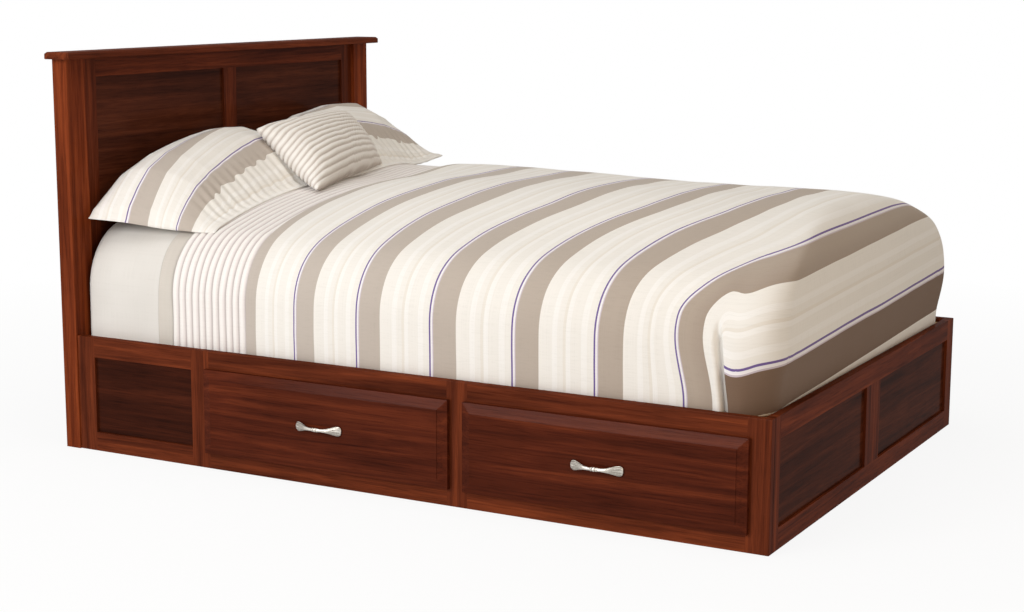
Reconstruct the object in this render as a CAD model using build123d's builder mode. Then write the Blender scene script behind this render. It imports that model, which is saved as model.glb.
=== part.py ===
from build123d import *
import math
import os

os.makedirs("parts", exist_ok=True)

# Platform bed with storage drawers, in millimetres. The head points to -X, the foot to +X, and the
# origin is on the floor at the middle of the bed's box.

# Side and foot frames of the platform
frame_width = 1430.0
frame_height = 311.0
board_thickness = 22.0
stile_width = 57.0
top_rail_height = 54.0
bottom_rail_height = 51.0
panel_bay_length = 325.0
drawer_bay_length = 716.0
drawer_names = ("head", "foot")
foot_centre_stile_width = 106.0

# Frame joinery
panel_thickness = 8.0
groove_depth = 8.0
panel_gap = 1.0
tenon_length = 20.0
arris_radius = 2.0

# Headboard
post_width = 76.0
post_depth = 48.0
post_height = 1049.0
post_proud = 5.0
headboard_setback = 13.0
headboard_bottom = 180.0
headboard_stile_width = 54.0
headboard_centre_stile_width = 60.0
headboard_top_rail_height = 51.0
headboard_bottom_rail_height = 100.0
cap_thickness = 19.0
cap_front_overhang = 30.0
cap_back_overhang = 5.0
cap_end_overhang = 22.0
cap_chamfer = 5.0

# Bolts that hold the side frames to the posts
bolt_diameter = 8.0
bolt_head_diameter = 18.0
bolt_head_height = 6.0
bolt_reach = 35.0
bolt_heights = (110.0, 210.0)
bolt_clearance = 0.25

# Base inside the frames
divider_thickness = 18.0
deck_thickness = 12.0
deck_recess = 12.0
deck_gap = 1.0
cleat_width = 20.0
cleat_height = 30.0

# Drawers
front_thickness = 20.0
front_edge_thickness = 11.0
front_bevel_width = 25.0
front_step = 1.5
front_overlay = 8.0
front_gap = 0.5
box_depth = 600.0
box_height = 165.0
box_lift = 12.0
box_wall = 13.0
box_bottom_thickness = 6.0
box_bottom_rise = 10.0
box_groove_depth = 6.0
box_bottom_gap = 0.5
box_joint_gap = 0.1

# Full-extension slides, each with a track, a middle member and a drawer rail
slide_length = 590.0
slide_width = 12.7
slide_height = 45.0
slide_gauge = 1.2
slide_play = 0.5
slide_setback = 3.0

# Bow pulls and their screws
pull_length = 137.0
pull_projection = 24.0
pull_end_height = 25.0
pull_end_depth = 4.0
pull_waist = 8.5
pull_bead = 11.0
pull_boss_spacing = 96.0
pull_boss_diameter = 9.0
pull_boss_length = 6.0
pull_seat = 0.2
spoon_centre = 0.87
spoon_spread = 0.17
pull_shares = (0.09, 0.25, 0.5, 0.7, spoon_centre, 1.0)
screw_diameter = 4.0
screw_head_diameter = 8.0
screw_head_height = 2.6
screw_grip = 4.0
screw_clearance = 0.25

# Mattress and bedding
soft_gap = 0.4
mattress_height = 378.0
mattress_side_room = 13.0
mattress_head_gap = 6.0
mattress_foot_gap = 52.0
mattress_corner_radius = 170.0
mattress_crown_radius = 2100.0
mattress_end_radius = 90.0
mattress_plan_radius = 40.0
end_headroom = 10.0
least_crown = 1.0
coverlet_thickness = 4.0
coverlet_rib_height = 5.0
coverlet_rib_pitch = 21.5
coverlet_ribs = 11
coverlet_rib_profile = {0.0: 0.0, 0.25: 0.75, 0.5: 1.0, 0.75: 0.75}
coverlet_start = 304.0
coverlet_tuck = 95.0
comforter_loft = 45.0
comforter_corner_radius = 179.0
comforter_crown_radius = 1550.0
comforter_end_radius = 150.0
comforter_plan_radius = 95.0
pleat_width = 10.0
pleat_depth = 9.0
pleat_height = 190.0
pleat_setback = 120.0
sham_width = 630.0
sham_spacing = 680.0
sham_depth = 387.0
sham_flange = 40.0
sham_cloth = 5.0
sham_crown = 128.0
sham_belly = 45.0
sham_back_lift = 55.0
sham_back_gap = 4.0
sham_drawn_in = 14.0
sham_rest_limit = 600.0
sham_fullness = 3.2
sham_stations = (-1.0, -0.9, -0.6, -0.2, 0.2, 0.6, 0.9, 1.0)
cushion_width = 508.0
cushion_height = 305.0
cushion_crown = 58.0
cushion_edge = 6.0
cushion_drawn_in = 20.0
cushion_ribs = 16
cushion_rib_depth = 5.0
cushion_fullness = 2.5
cushion_tilt = 32.0
cushion_turn = -5.0
cushion_offset = 70.0
cushion_foot = 403.0
cushion_lift = 24.0
cushion_room_shares = (-1.0, -0.75, -0.5, -0.25, 0.0, 0.25, 0.5, 0.75, 1.0)

# Places that follow from the sizes above
sides = {"left": -1, "right": 1}
half_width = frame_width / 2
inner_half = half_width - board_thickness
bay_lengths = [panel_bay_length] + [drawer_bay_length] * len(drawer_names)
frame_length = sum(bay_lengths) + stile_width * (len(bay_lengths) + 1)
foot_face = (cap_back_overhang + post_depth + frame_length) / 2
post_front = foot_face - frame_length
post_back = post_front - post_depth
post_outer = half_width + post_proud
post_inner = post_outer - post_width
headboard_face = post_front - headboard_setback
foot_inner_face = foot_face - board_thickness
opening_bottom = bottom_rail_height
opening_top = frame_height - top_rail_height
panel_setback = (board_thickness - panel_thickness) / 2
panel_tongue = groove_depth - panel_gap
deck_top = frame_height - deck_recess
deck_bottom = deck_top - deck_thickness
bolt_depth = board_thickness / 2
bolt_hole = bolt_diameter + 2 * bolt_clearance
bolt_head_hole = bolt_head_diameter + 2 * bolt_clearance

# The stiles stand between the bays, and every bay is the clear opening between two of them.
stile_starts = []
bays = []
bay_start = post_front
for bay_length in bay_lengths:
    stile_starts.append(bay_start)
    bays.append((bay_start + stile_width, bay_start + stile_width + bay_length))
    bay_start += stile_width + bay_length
stile_starts.append(bay_start)
panel_bay = bays[0]
drawer_bays = dict(zip(drawer_names, bays[1:]))


def save(builder, name):
    """Label a finished piece and write it under that name."""
    builder.part.label = name
    export_step(builder.part, f"parts/{name}.step")


def block(x_span, y_span, z_span, mode=Mode.ADD):
    """A straight board between three pairs of limits."""
    spans = [sorted(span) for span in (x_span, y_span, z_span)]
    with Locations(tuple(sum(span) / 2 for span in spans)):
        Box(*(high - low for low, high in spans), mode=mode)


def rod_along_x(x_span, y, z, diameter, mode=Mode.ADD):
    """A round bar or hole along the bed."""
    low, high = sorted(x_span)
    with Locations(Location(((low + high) / 2, y, z), (0, 90, 0))):
        Cylinder(diameter / 2, high - low, mode=mode)


def rod_along_y(x, y_span, z, diameter, mode=Mode.ADD):
    """A round bar or hole across the bed."""
    low, high = sorted(y_span)
    with Locations(Location((x, (low + high) / 2, z), (90, 0, 0))):
        Cylinder(diameter / 2, high - low, mode=mode)


def inwards(sign, near, far):
    """Limits across the bed, measured inwards from a side frame's outer face."""
    return (sign * (half_width - near), sign * (half_width - far))


def grown(span, amount):
    """A pair of limits, widened by the same amount at both ends."""
    low, high = sorted(span)
    return (low - amount, high + amount)


# Two-panel frames: the headboard and the foot frame are made alike
def two_panel_frame(name, face, half_span, z_span, end_width, centre_width, rail_heights, edge_tongue):
    """Stiles, rails and panels whose show face looks to +X. The end stiles run the full height."""
    bottom, top = z_span
    bottom_height, top_height = rail_heights
    board = (face - board_thickness, face)
    core = (face - panel_setback - panel_thickness, face - panel_setback)
    reach = half_span - end_width
    inside = (-reach, reach)
    half_centre = centre_width / 2
    opening = (bottom + bottom_height, top - top_height)
    rails = {"bottom_rail": (bottom, opening[0]), "top_rail": (opening[1], top)}
    frame_bays = [(-reach, -half_centre), (half_centre, reach)]

    with BuildPart() as stiles:
        for sign in sides.values():
            block(board, (sign * reach, sign * half_span), z_span)
            if edge_tongue:
                block(core, (sign * reach, sign * (half_span + panel_tongue)), z_span)
        for limits in rails.values():
            block(core, grown(inside, tenon_length), grown(limits, -groove_depth), Mode.SUBTRACT)
        block(core, grown(inside, groove_depth), grown(opening, groove_depth), Mode.SUBTRACT)
        block(board, (-half_centre, half_centre), opening)
        for bay in frame_bays:
            block(core, grown(bay, groove_depth), opening, Mode.SUBTRACT)
        tenon_half = half_centre - groove_depth
        block(core, (-tenon_half, tenon_half), grown(opening, tenon_length))
    save(stiles, f"{name}_stiles")

    for rail_name, limits in rails.items():
        with BuildPart() as rail:
            block(board, inside, limits)
            if rail_name == "top_rail":
                fillet(rail.edges().filter_by(Axis.Y).group_by(Axis.Z)[-1], arris_radius)
            block(core, grown(inside, tenon_length), grown(limits, -groove_depth))
            for bay in frame_bays:
                block(core, grown(bay, groove_depth), grown(opening, groove_depth), Mode.SUBTRACT)
            block(core, (-tenon_half, tenon_half), grown(opening, tenon_length), Mode.SUBTRACT)
        save(rail, f"{name}_{rail_name}")

    with BuildPart() as panels:
        for bay in frame_bays:
            block(core, grown(bay, panel_tongue), grown(opening, panel_tongue))
    save(panels, f"{name}_panels")


two_panel_frame(
    "headboard",
    headboard_face,
    post_inner,
    (headboard_bottom, post_height),
    headboard_stile_width,
    headboard_centre_stile_width,
    (headboard_bottom_rail_height, headboard_top_rail_height),
    edge_tongue=True,
)
two_panel_frame(
    "foot",
    foot_face,
    inner_half,
    (0, frame_height),
    stile_width - board_thickness,
    foot_centre_stile_width,
    (bottom_rail_height, top_rail_height),
    edge_tongue=False,
)

# Headboard posts, grooved for the headboard frame and bored for the bed bolts
for side, sign in sides.items():
    bolt_line = sign * (half_width - bolt_depth)
    with BuildPart() as post:
        block((post_back, post_front), (sign * post_inner, sign * post_outer), (0, post_height))
        fillet(post.edges().filter_by(Axis.Z), arris_radius)
        groove = (headboard_face - panel_setback - panel_thickness, headboard_face - panel_setback)
        block(
            groove,
            (sign * post_inner, sign * (post_inner + groove_depth)),
            (headboard_bottom, post_height),
            Mode.SUBTRACT,
        )
        for height in bolt_heights:
            rod_along_x((post_back, post_front), bolt_line, height, bolt_hole, Mode.SUBTRACT)
            head_span = (post_back, post_back + bolt_head_height)
            rod_along_x(head_span, bolt_line, height, bolt_head_hole, Mode.SUBTRACT)
    save(post, f"headboard_{side}_post")

# The cap lies on the posts and the top rail, and overhangs them on all sides
with BuildPart() as cap:
    block(
        (post_back - cap_back_overhang, post_front + cap_front_overhang),
        (-post_outer - cap_end_overhang, post_outer + cap_end_overhang),
        (post_height, post_height + cap_thickness),
    )
    chamfer(cap.edges().group_by(Axis.Z)[-1], cap_chamfer)
    fillet(cap.edges().group_by(Axis.Z)[0], arris_radius)
save(cap, "headboard_cap")

# Bed bolts through the posts into the head stiles
with BuildPart() as bolts:
    for sign in sides.values():
        bolt_line = sign * (half_width - bolt_depth)
        for height in bolt_heights:
            rod_along_x((post_back, post_front + bolt_reach), bolt_line, height, bolt_diameter)
            rod_along_x((post_back, post_back + bolt_head_height), bolt_line, height, bolt_head_diameter)
save(bolts, "bed_bolts")

# Side frames: full-height stiles, rails tenoned between them, and one fixed panel at the head end
opening_span = (opening_bottom, opening_top)
side_rails = {"bottom_rails": (0, opening_bottom), "top_rails": (opening_top, frame_height)}
for side, sign in sides.items():
    board = inwards(sign, 0, board_thickness)
    core = inwards(sign, panel_setback, panel_setback + panel_thickness)
    bolt_line = sign * (half_width - bolt_depth)

    with BuildPart() as stiles:
        for start in stile_starts:
            block((start, start + stile_width), board, (0, frame_height))
        fillet(stiles.edges().filter_by(Axis.X).group_by(Axis.Z)[-1], arris_radius)
        outer_corner = stiles.edges().filter_by(Axis.Z).group_by(Axis.X)[-1].sort_by(Axis.Y)
        fillet(outer_corner[0 if sign < 0 else -1], arris_radius)
        for bay in bays:
            for limits in side_rails.values():
                block(grown(bay, tenon_length), core, grown(limits, -groove_depth), Mode.SUBTRACT)
        block(grown(panel_bay, groove_depth), core, grown(opening_span, groove_depth), Mode.SUBTRACT)
        for height in bolt_heights:
            bolt_end = post_front + bolt_reach + bolt_clearance
            rod_along_x((post_front, bolt_end), bolt_line, height, bolt_hole, Mode.SUBTRACT)
    save(stiles, f"{side}_side_stiles")

    for rail_name, limits in side_rails.items():
        with BuildPart() as rails:
            for bay in bays:
                block(bay, board, limits)
            if rail_name == "top_rails":
                fillet(rails.edges().filter_by(Axis.X).group_by(Axis.Z)[-1], arris_radius)
            for bay in bays:
                block(grown(bay, tenon_length), core, grown(limits, -groove_depth))
            block(panel_bay, core, grown(opening_span, groove_depth), Mode.SUBTRACT)
        save(rails, f"{side}_side_{rail_name}")

    with BuildPart() as panel:
        block(grown(panel_bay, panel_tongue), core, grown(opening_span, panel_tongue))
    save(panel, f"{side}_side_panel")

# Cross dividers carry the deck and the slides; they are halved over the centre spine
divider_spans = [(post_front, post_front + divider_thickness)]
for low, high in drawer_bays.values():
    divider_spans.append((low - divider_thickness, low))
    divider_spans.append((high, high + divider_thickness))
half_divider = divider_thickness / 2
spine_span = (-half_divider, half_divider)

with BuildPart() as dividers:
    for span in divider_spans:
        block(span, (-inner_half, inner_half), (0, deck_bottom))
        block(span, spine_span, (deck_bottom / 2, deck_bottom), Mode.SUBTRACT)
save(dividers, "cross_dividers")

with BuildPart() as spine:
    block((post_front, foot_inner_face), spine_span, (0, deck_bottom))
    for span in divider_spans:
        block(span, spine_span, (0, deck_bottom / 2), Mode.SUBTRACT)
save(spine, "centre_spine")

# Cleats on the side frames, and the deck that lies on them and on the dividers
first_bay_start = divider_spans[1][0]
cleat_spans = [(divider_spans[0][1], first_bay_start)] + list(drawer_bays.values())
with BuildPart() as cleats:
    for sign in sides.values():
        for span in cleat_spans:
            block(
                span,
                (sign * inner_half, sign * (inner_half - cleat_width)),
                (deck_bottom - cleat_height, deck_bottom),
            )
save(cleats, "deck_cleats")

deck_seams = [post_front] + [low - half_divider for low, high in drawer_bays.values()] + [foot_inner_face]
with BuildPart() as deck:
    for start, end in zip(deck_seams[:-1], deck_seams[1:]):
        block(
            (start + deck_gap / 2, end - deck_gap / 2),
            (-inner_half + deck_gap / 2, inner_half - deck_gap / 2),
            (deck_bottom, deck_top),
        )
save(deck, "deck_panels")


# Drawer slides: three nested channels on each side of a drawer
box_bottom = opening_bottom + box_lift
box_top = box_bottom + box_height
slide_middle = (box_bottom + box_top) / 2
track_half = slide_height / 2
middle_half = track_half - slide_gauge - slide_play
rail_half = middle_half - slide_gauge - slide_play
flange_tip = slide_width - slide_gauge - slide_play
middle_web = slide_gauge + slide_play
rail_tip = middle_web + slide_gauge + slide_play


def channel(wall, inward, web_start, flange_span, half_height, y_span):
    """A rolled channel along a wall: its web, and flanges over a span away from the wall."""
    web = (wall + inward * web_start, wall + inward * (web_start + slide_gauge))
    flanges = (wall + inward * flange_span[0], wall + inward * flange_span[1])
    block(web, y_span, (slide_middle - half_height, slide_middle + half_height))
    for edge in (-1, 1):
        outer = slide_middle + edge * half_height
        block(flanges, y_span, (outer, outer - edge * slide_gauge))


def slide_walls(bay):
    """The two walls of a drawer bay, each with its direction into the bay."""
    return ((bay[0], 1), (bay[1], -1))


def slide_run(sign):
    """Limits of the slides across the bed, behind the side frame."""
    start = half_width - board_thickness - slide_setback
    return (sign * start, sign * (start - slide_length))


with BuildPart() as tracks:
    for sign in sides.values():
        for bay in drawer_bays.values():
            for wall, inward in slide_walls(bay):
                channel(wall, inward, 0, (0, flange_tip), track_half, slide_run(sign))
save(tracks, "slide_tracks")


# Bow pull: a slim bar that swells at its middle and spreads into two spoon-shaped ends
pull_stations = [-share for share in reversed(pull_shares)] + [0.0] + list(pull_shares)


def pull_bow(share):
    """How far the middle of the bar stands off the drawer front at a share of its half length."""
    low = pull_end_depth / 2 + pull_seat
    return low + (pull_projection - pull_waist / 2 - low) * (1 - share**2) ** 2


def pull_section(share):
    """Height and depth of the bar at a share of its half length."""
    spoon = math.exp(-(((abs(share) - spoon_centre) / spoon_spread) ** 2))
    height = pull_waist + (pull_end_height - pull_waist) * spoon
    depth = pull_end_depth + (pull_waist - pull_end_depth) * (1 - share**2)
    return (pull_bead, pull_bead) if share == 0 else (height, depth)


def pull_sections(x, face, sign, z):
    """Upright ellipses that follow the bow, for the bar to be lofted through."""
    step = 0.001
    half_length = pull_length / 2
    sections = []
    for share in pull_stations:
        slope = (pull_bow(share + step) - pull_bow(share - step)) / (2 * step)
        height, depth = pull_section(share)
        centre = (x + share * half_length, face + sign * pull_bow(share), z)
        with BuildSketch(Plane(centre, x_dir=(0, 0, 1), z_dir=(half_length, sign * slope, 0))) as section:
            Ellipse(height / 2, depth / 2)
        sections.append(section.sketch)
    return sections


# Four drawers, each with a raised front, a box, a bottom, a pull and its slides
front_z = grown(opening_span, front_overlay)
pull_height = sum(front_z) / 2
for side, sign in sides.items():
    front_back = sign * (half_width + front_gap)
    front_edge = front_back + sign * front_edge_thickness
    front_face = front_back + sign * front_thickness
    bevel_top = front_face - sign * front_step
    box_back = front_back - sign * box_depth
    inner_front = front_back - sign * box_wall
    for place, bay in drawer_bays.items():
        drawer = f"{side}_{place}_drawer"
        middle = sum(bay) / 2
        front_x = grown(bay, front_overlay)
        box_x = grown(bay, -slide_width)
        inside_x = grown(box_x, -box_wall)
        inside_y = (inner_front, box_back + sign * box_wall)
        front_size = (front_x[1] - front_x[0], front_z[1] - front_z[0])
        field_size = tuple(size - 2 * front_bevel_width for size in front_size)
        screw_places = [middle - pull_boss_spacing / 2, middle + pull_boss_spacing / 2]
        screw_hole = screw_diameter + 2 * screw_clearance

        with BuildPart() as front:
            block(front_x, (front_back, front_edge), front_z)
            with BuildSketch(Plane((middle, front_edge, pull_height), x_dir=(1, 0, 0), z_dir=(0, sign, 0))):
                Rectangle(*front_size)
            with BuildSketch(Plane((middle, bevel_top, pull_height), x_dir=(1, 0, 0), z_dir=(0, sign, 0))):
                Rectangle(*field_size)
            loft()
            block(
                grown(front_x, -front_bevel_width),
                (bevel_top, front_face),
                grown(front_z, -front_bevel_width),
            )
            for x in screw_places:
                rod_along_y(x, (front_back, front_face), pull_height, screw_hole, Mode.SUBTRACT)
        save(front, f"{drawer}_front")

        groove_z = (box_bottom + box_bottom_rise, box_bottom + box_bottom_rise + box_bottom_thickness)
        box_y = (front_back, box_back)
        bottom_reach = box_groove_depth - box_bottom_gap
        with BuildPart() as box:
            for wall in ((box_x[0], inside_x[0]), (inside_x[1], box_x[1])):
                block(wall, box_y, (box_bottom, box_top))
            for end in ((front_back, inner_front), (inside_y[1], box_back)):
                block(grown(inside_x, -box_joint_gap), end, (box_bottom, box_top))
            groove_x = grown(inside_x, box_groove_depth)
            block(groove_x, grown(inside_y, box_groove_depth), groove_z, Mode.SUBTRACT)
            for x in screw_places:
                rod_along_y(x, (front_back, inner_front), pull_height, screw_hole, Mode.SUBTRACT)
        save(box, f"{drawer}_box")

        with BuildPart() as bottom_panel:
            block(grown(inside_x, bottom_reach), grown(inside_y, bottom_reach), groove_z)
        save(bottom_panel, f"{drawer}_bottom")

        with BuildPart() as pull:
            loft(pull_sections(middle, front_face, sign, pull_height))
            for x in screw_places:
                boss = (front_face, front_face + sign * pull_boss_length)
                rod_along_y(x, boss, pull_height, pull_boss_diameter)
                bore = (front_face, front_face + sign * (screw_grip + screw_clearance))
                rod_along_y(x, bore, pull_height, screw_diameter + screw_clearance, Mode.SUBTRACT)
        save(pull, f"{drawer}_pull")

        with BuildPart() as screws:
            for x in screw_places:
                rod_along_y(x, (inner_front, front_face + sign * screw_grip), pull_height, screw_diameter)
                head = (inner_front, inner_front - sign * screw_head_height)
                rod_along_y(x, head, pull_height, screw_head_diameter)
        save(screws, f"{drawer}_pull_screws")

        with BuildPart() as rails:
            for wall, inward in slide_walls(bay):
                web = slide_width - slide_gauge
                channel(wall, inward, web, (rail_tip, slide_width), rail_half, slide_run(sign))
        save(rails, f"{drawer}_slide_rails")

        with BuildPart() as middles:
            for wall, inward in slide_walls(bay):
                channel(wall, inward, middle_web, (middle_web, flange_tip), middle_half, slide_run(sign))
        save(middles, f"{side}_{place}_middle_slides")


# Padded bedding: a crown arc across the bed runs into two corner arcs and upright sides
mattress_half = inner_half - mattress_side_room
mattress_top = deck_top + mattress_height
mattress_head = post_front + mattress_head_gap
mattress_foot = foot_inner_face - mattress_foot_gap
mattress_shape = (mattress_half, mattress_top, mattress_corner_radius, mattress_crown_radius)


def grown_shape(shape, amount):
    """The same dome a little larger all round."""
    return tuple(size + amount for size in shape)


def dome_points(shape):
    """Half width, the height where the side turns in, and two points of the corner arc."""
    half, top, corner, crown = shape
    rise = math.sqrt((crown - corner) ** 2 - (half - corner) ** 2)
    shoulder = top - crown + rise
    turn = math.atan2(rise, half - corner)

    def on_corner(angle):
        return (half - corner + corner * math.cos(angle), shoulder + corner * math.sin(angle))

    return half, shoulder, on_corner(turn / 2), on_corner(turn)


def dome_line(shape, bottom):
    """Draw one dome from its left foot over the crown to its right foot."""
    half, shoulder, bend, meet = dome_points(shape)
    left_bend = (-bend[0], bend[1])
    left_meet = (-meet[0], meet[1])
    Line((-half, bottom), (-half, shoulder))
    ThreePointArc((-half, shoulder), left_bend, left_meet)
    ThreePointArc(left_meet, (0, shape[1]), meet)
    ThreePointArc(meet, bend, (half, shoulder))
    Line((half, shoulder), (half, bottom))


def dome_face(x, shape, bottom):
    """A closed cut across the bed under one dome."""
    with BuildSketch(Plane.YZ.offset(x)) as section:
        with BuildLine():
            dome_line(shape, bottom)
            Line((shape[0], bottom), (-shape[0], bottom))
        make_face()
    return section.sketch


def bed_height(y):
    """Height of the mattress's top at a distance from the middle of the bed."""
    half, top, corner, crown = mattress_shape
    half, shoulder, bend, meet = dome_points(mattress_shape)
    if abs(y) <= meet[0]:
        return top - crown + math.sqrt(crown**2 - y**2)
    return shoulder + math.sqrt(corner**2 - (abs(y) - half + corner) ** 2)


def padded_block(x_span, bottom, shape, end_radius, plan_radius, square_head=False):
    """A dome along the bed whose ends are rounded in side view and in plan."""
    low, high = x_span
    half, top = shape[0], shape[1]
    ceiling = top + end_headroom
    extrude(dome_face(low, shape, bottom), amount=high - low)
    with BuildSketch(Plane.XZ) as side_view:
        with Locations(((low + high) / 2, (bottom + ceiling) / 2)):
            Rectangle(high - low, ceiling - bottom)
        upper = side_view.vertices().group_by(Axis.Y)[-1].sort_by(Axis.X)
        fillet(upper[-1:] if square_head else upper, end_radius)
    extrude(side_view.sketch, amount=2 * half, both=True, mode=Mode.INTERSECT)
    with BuildSketch(Plane.XY.offset(bottom)) as plan:
        with Locations(((low + high) / 2, 0)):
            Rectangle(high - low, 2 * half)
        corners = plan.vertices().group_by(Axis.X)
        fillet(corners[-1] if square_head else plan.vertices(), plan_radius)
    extrude(plan.sketch, amount=ceiling - bottom, mode=Mode.INTERSECT)


with BuildPart() as mattress:
    padded_block(
        (mattress_head, mattress_foot), deck_top, mattress_shape, mattress_end_radius, mattress_plan_radius
    )
save(mattress, "mattress")

# Room that the bedding leaves for the mattress
with BuildPart() as mattress_room:
    padded_block(
        (mattress_head - soft_gap, mattress_foot + soft_gap),
        deck_top,
        grown_shape(mattress_shape, soft_gap),
        mattress_end_radius + soft_gap,
        mattress_plan_radius + soft_gap,
    )

# Ribbed coverlet: a strip over the mattress whose outer side swells into ribs across the bed
coverlet_head = post_front + coverlet_start
coverlet_edge = coverlet_head + coverlet_ribs * coverlet_rib_pitch
coverlet_end = coverlet_edge + coverlet_tuck
bedding_bottom = deck_top + soft_gap
coverlet_stations = [
    (coverlet_head + (rib + share) * coverlet_rib_pitch, swell * coverlet_rib_height)
    for rib in range(coverlet_ribs)
    for share, swell in coverlet_rib_profile.items()
]
coverlet_stations += [(coverlet_edge, 0), (coverlet_end, 0)]


def coverlet_section(x, swell):
    """One cut across the coverlet, from the mattress out to its ribbed side."""
    inner = grown_shape(mattress_shape, soft_gap)
    outer = grown_shape(inner, coverlet_thickness + swell)
    with BuildSketch(Plane.YZ.offset(x)) as section:
        with BuildLine():
            dome_line(outer, bedding_bottom)
            dome_line(inner, bedding_bottom)
            Line((-outer[0], bedding_bottom), (-inner[0], bedding_bottom))
            Line((inner[0], bedding_bottom), (outer[0], bedding_bottom))
        make_face()
    return section.sketch


with BuildPart() as coverlet:
    loft([coverlet_section(x, swell) for x, swell in coverlet_stations], ruled=True)
save(coverlet, "coverlet")

# Comforter: starts at the ribbed strip, is tucked inside the side and foot frames, and is pleated
# at the foot
comforter_half = inner_half - soft_gap
comforter_foot = foot_inner_face - soft_gap
comforter_shape = (
    comforter_half,
    mattress_top + comforter_loft,
    comforter_corner_radius,
    comforter_crown_radius,
)
coverlet_room_shape = grown_shape(mattress_shape, coverlet_thickness + 2 * soft_gap)
pleat_line = comforter_half - pleat_setback
with BuildPart() as comforter:
    padded_block(
        (coverlet_edge, comforter_foot),
        bedding_bottom,
        comforter_shape,
        comforter_end_radius,
        comforter_plan_radius,
        square_head=True,
    )
    add(mattress_room.part, mode=Mode.SUBTRACT)
    coverlet_room = dome_face(coverlet_edge, coverlet_room_shape, deck_top)
    extrude(coverlet_room, amount=coverlet_tuck + soft_gap, mode=Mode.SUBTRACT)
    for sign in sides.values():
        with BuildSketch(Plane.XY.offset(bedding_bottom)):
            with BuildLine():
                Polyline(
                    (comforter_foot, sign * (pleat_line - pleat_width / 2)),
                    (comforter_foot - pleat_depth, sign * pleat_line),
                    (comforter_foot, sign * (pleat_line + pleat_width / 2)),
                    close=True,
                )
            make_face()
        extrude(amount=pleat_height, mode=Mode.SUBTRACT)
save(comforter, "comforter")

# Oblong ribbed cushion: ribs run along it and are stacked up its slope, and it lies a little turned
tilt = math.radians(cushion_tilt)
turn = math.radians(cushion_turn)
across = Vector(math.sin(turn), math.cos(turn), 0)
slope = Vector(-math.cos(tilt) * math.cos(turn), math.cos(tilt) * math.sin(turn), math.sin(tilt))
half_cushion = cushion_height / 2
cushion_bottom = Vector(post_front + cushion_foot, cushion_offset, bed_height(0) + cushion_lift)
cushion_centre = cushion_bottom + slope * half_cushion


def cushion_section(share, extra, groove=0.0):
    """One cut along the cushion at a share of its half height, drawn in and crowned."""
    fullness = 1 - abs(share) ** cushion_fullness
    half = cushion_width / 2 - cushion_drawn_in * (1 - share**2) + extra
    edge = cushion_edge / 2 + extra
    crown = edge + (cushion_crown - groove) * fullness + least_crown
    plane = Plane(cushion_centre + slope * (share * (half_cushion + extra)), x_dir=across, z_dir=slope)
    with BuildSketch(plane) as section:
        with BuildLine():
            Line((-half, -edge), (-half, edge))
            ThreePointArc((-half, edge), (0, crown), (half, edge))
            Line((half, edge), (half, -edge))
            ThreePointArc((half, -edge), (0, -crown), (-half, -edge))
        make_face()
    return section.sketch


with BuildPart() as cushion:
    cushion_sections = []
    for station in range(2 * cushion_ribs + 1):
        groove = cushion_rib_depth if station % 2 == 0 else 0.0
        cushion_sections.append(cushion_section(station / cushion_ribs - 1, 0.0, groove))
    loft(cushion_sections, ruled=True)
save(cushion, "cushion")

# Room that the shams leave for the cushion
with BuildPart() as cushion_room:
    loft([cushion_section(share, 2 * soft_gap) for share in cushion_room_shares], ruled=True)

# Shams: flanged pillows that lie on the mattress and lean on the headboard
sham_back = headboard_face + headboard_setback + sham_back_gap
sham_front = sham_back + sham_depth
coverlet_crest_shape = grown_shape(mattress_shape, coverlet_thickness + coverlet_rib_height + 2 * soft_gap)


def sham_section(y, share):
    """One cut along the bed: a flange at each end, a crown above and a belly below."""
    fullness = 1 - abs(share) ** sham_fullness
    front = sham_front - sham_drawn_in * (1 - share**2)
    low = bed_height(min(abs(y), sham_rest_limit)) + coverlet_thickness
    high = low + sham_back_lift
    crown_x = (front + sham_back) / 2
    middle = (low + high) / 2
    with BuildSketch(Plane.XZ.offset(-y)) as section:
        with BuildLine():
            Line((front, low), (front, low + sham_cloth))
            Line((front, low + sham_cloth), (front - sham_flange, low + sham_cloth))
            ThreePointArc(
                (front - sham_flange, low + sham_cloth),
                (crown_x, middle + sham_cloth + least_crown + sham_crown * fullness),
                (sham_back + sham_flange, high + sham_cloth),
            )
            Line((sham_back + sham_flange, high + sham_cloth), (sham_back, high + sham_cloth))
            Line((sham_back, high + sham_cloth), (sham_back, high))
            Line((sham_back, high), (sham_back + sham_flange, high))
            ThreePointArc(
                (sham_back + sham_flange, high),
                (crown_x, middle - least_crown - sham_belly * fullness),
                (front - sham_flange, low),
            )
            Line((front - sham_flange, low), (front, low))
        make_face()
    return section.sketch


for side, sign in sides.items():
    with BuildPart() as sham:
        sham_sections = []
        for share in sham_stations:
            y = sign * sham_spacing / 2 + share * sham_width / 2
            sham_sections.append(sham_section(y, share))
        loft(sham_sections)
        add(mattress_room.part, mode=Mode.SUBTRACT)
        coverlet_crest = dome_face(coverlet_head - soft_gap, coverlet_crest_shape, deck_top)
        extrude(coverlet_crest, amount=coverlet_edge - coverlet_head, mode=Mode.SUBTRACT)
        add(cushion_room.part, mode=Mode.SUBTRACT)
    save(sham, f"{side}_sham")
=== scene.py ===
# %% [markdown]
# # A platform bed with storage drawers
# The bed's wood, slides and drawers come from the CAD frame. They keep their shape here, and get their stain
# and metal. The pulls and all bedding are new pieces that stand in the places of their CAD solids.
# Everything is in metres, with the head towards -X, the foot towards +X and the floor at Z = 0.

# %% Load the frame
import math

import bpy
import numpy as np
from mathutils import Euler, Matrix, Vector, noise


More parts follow.
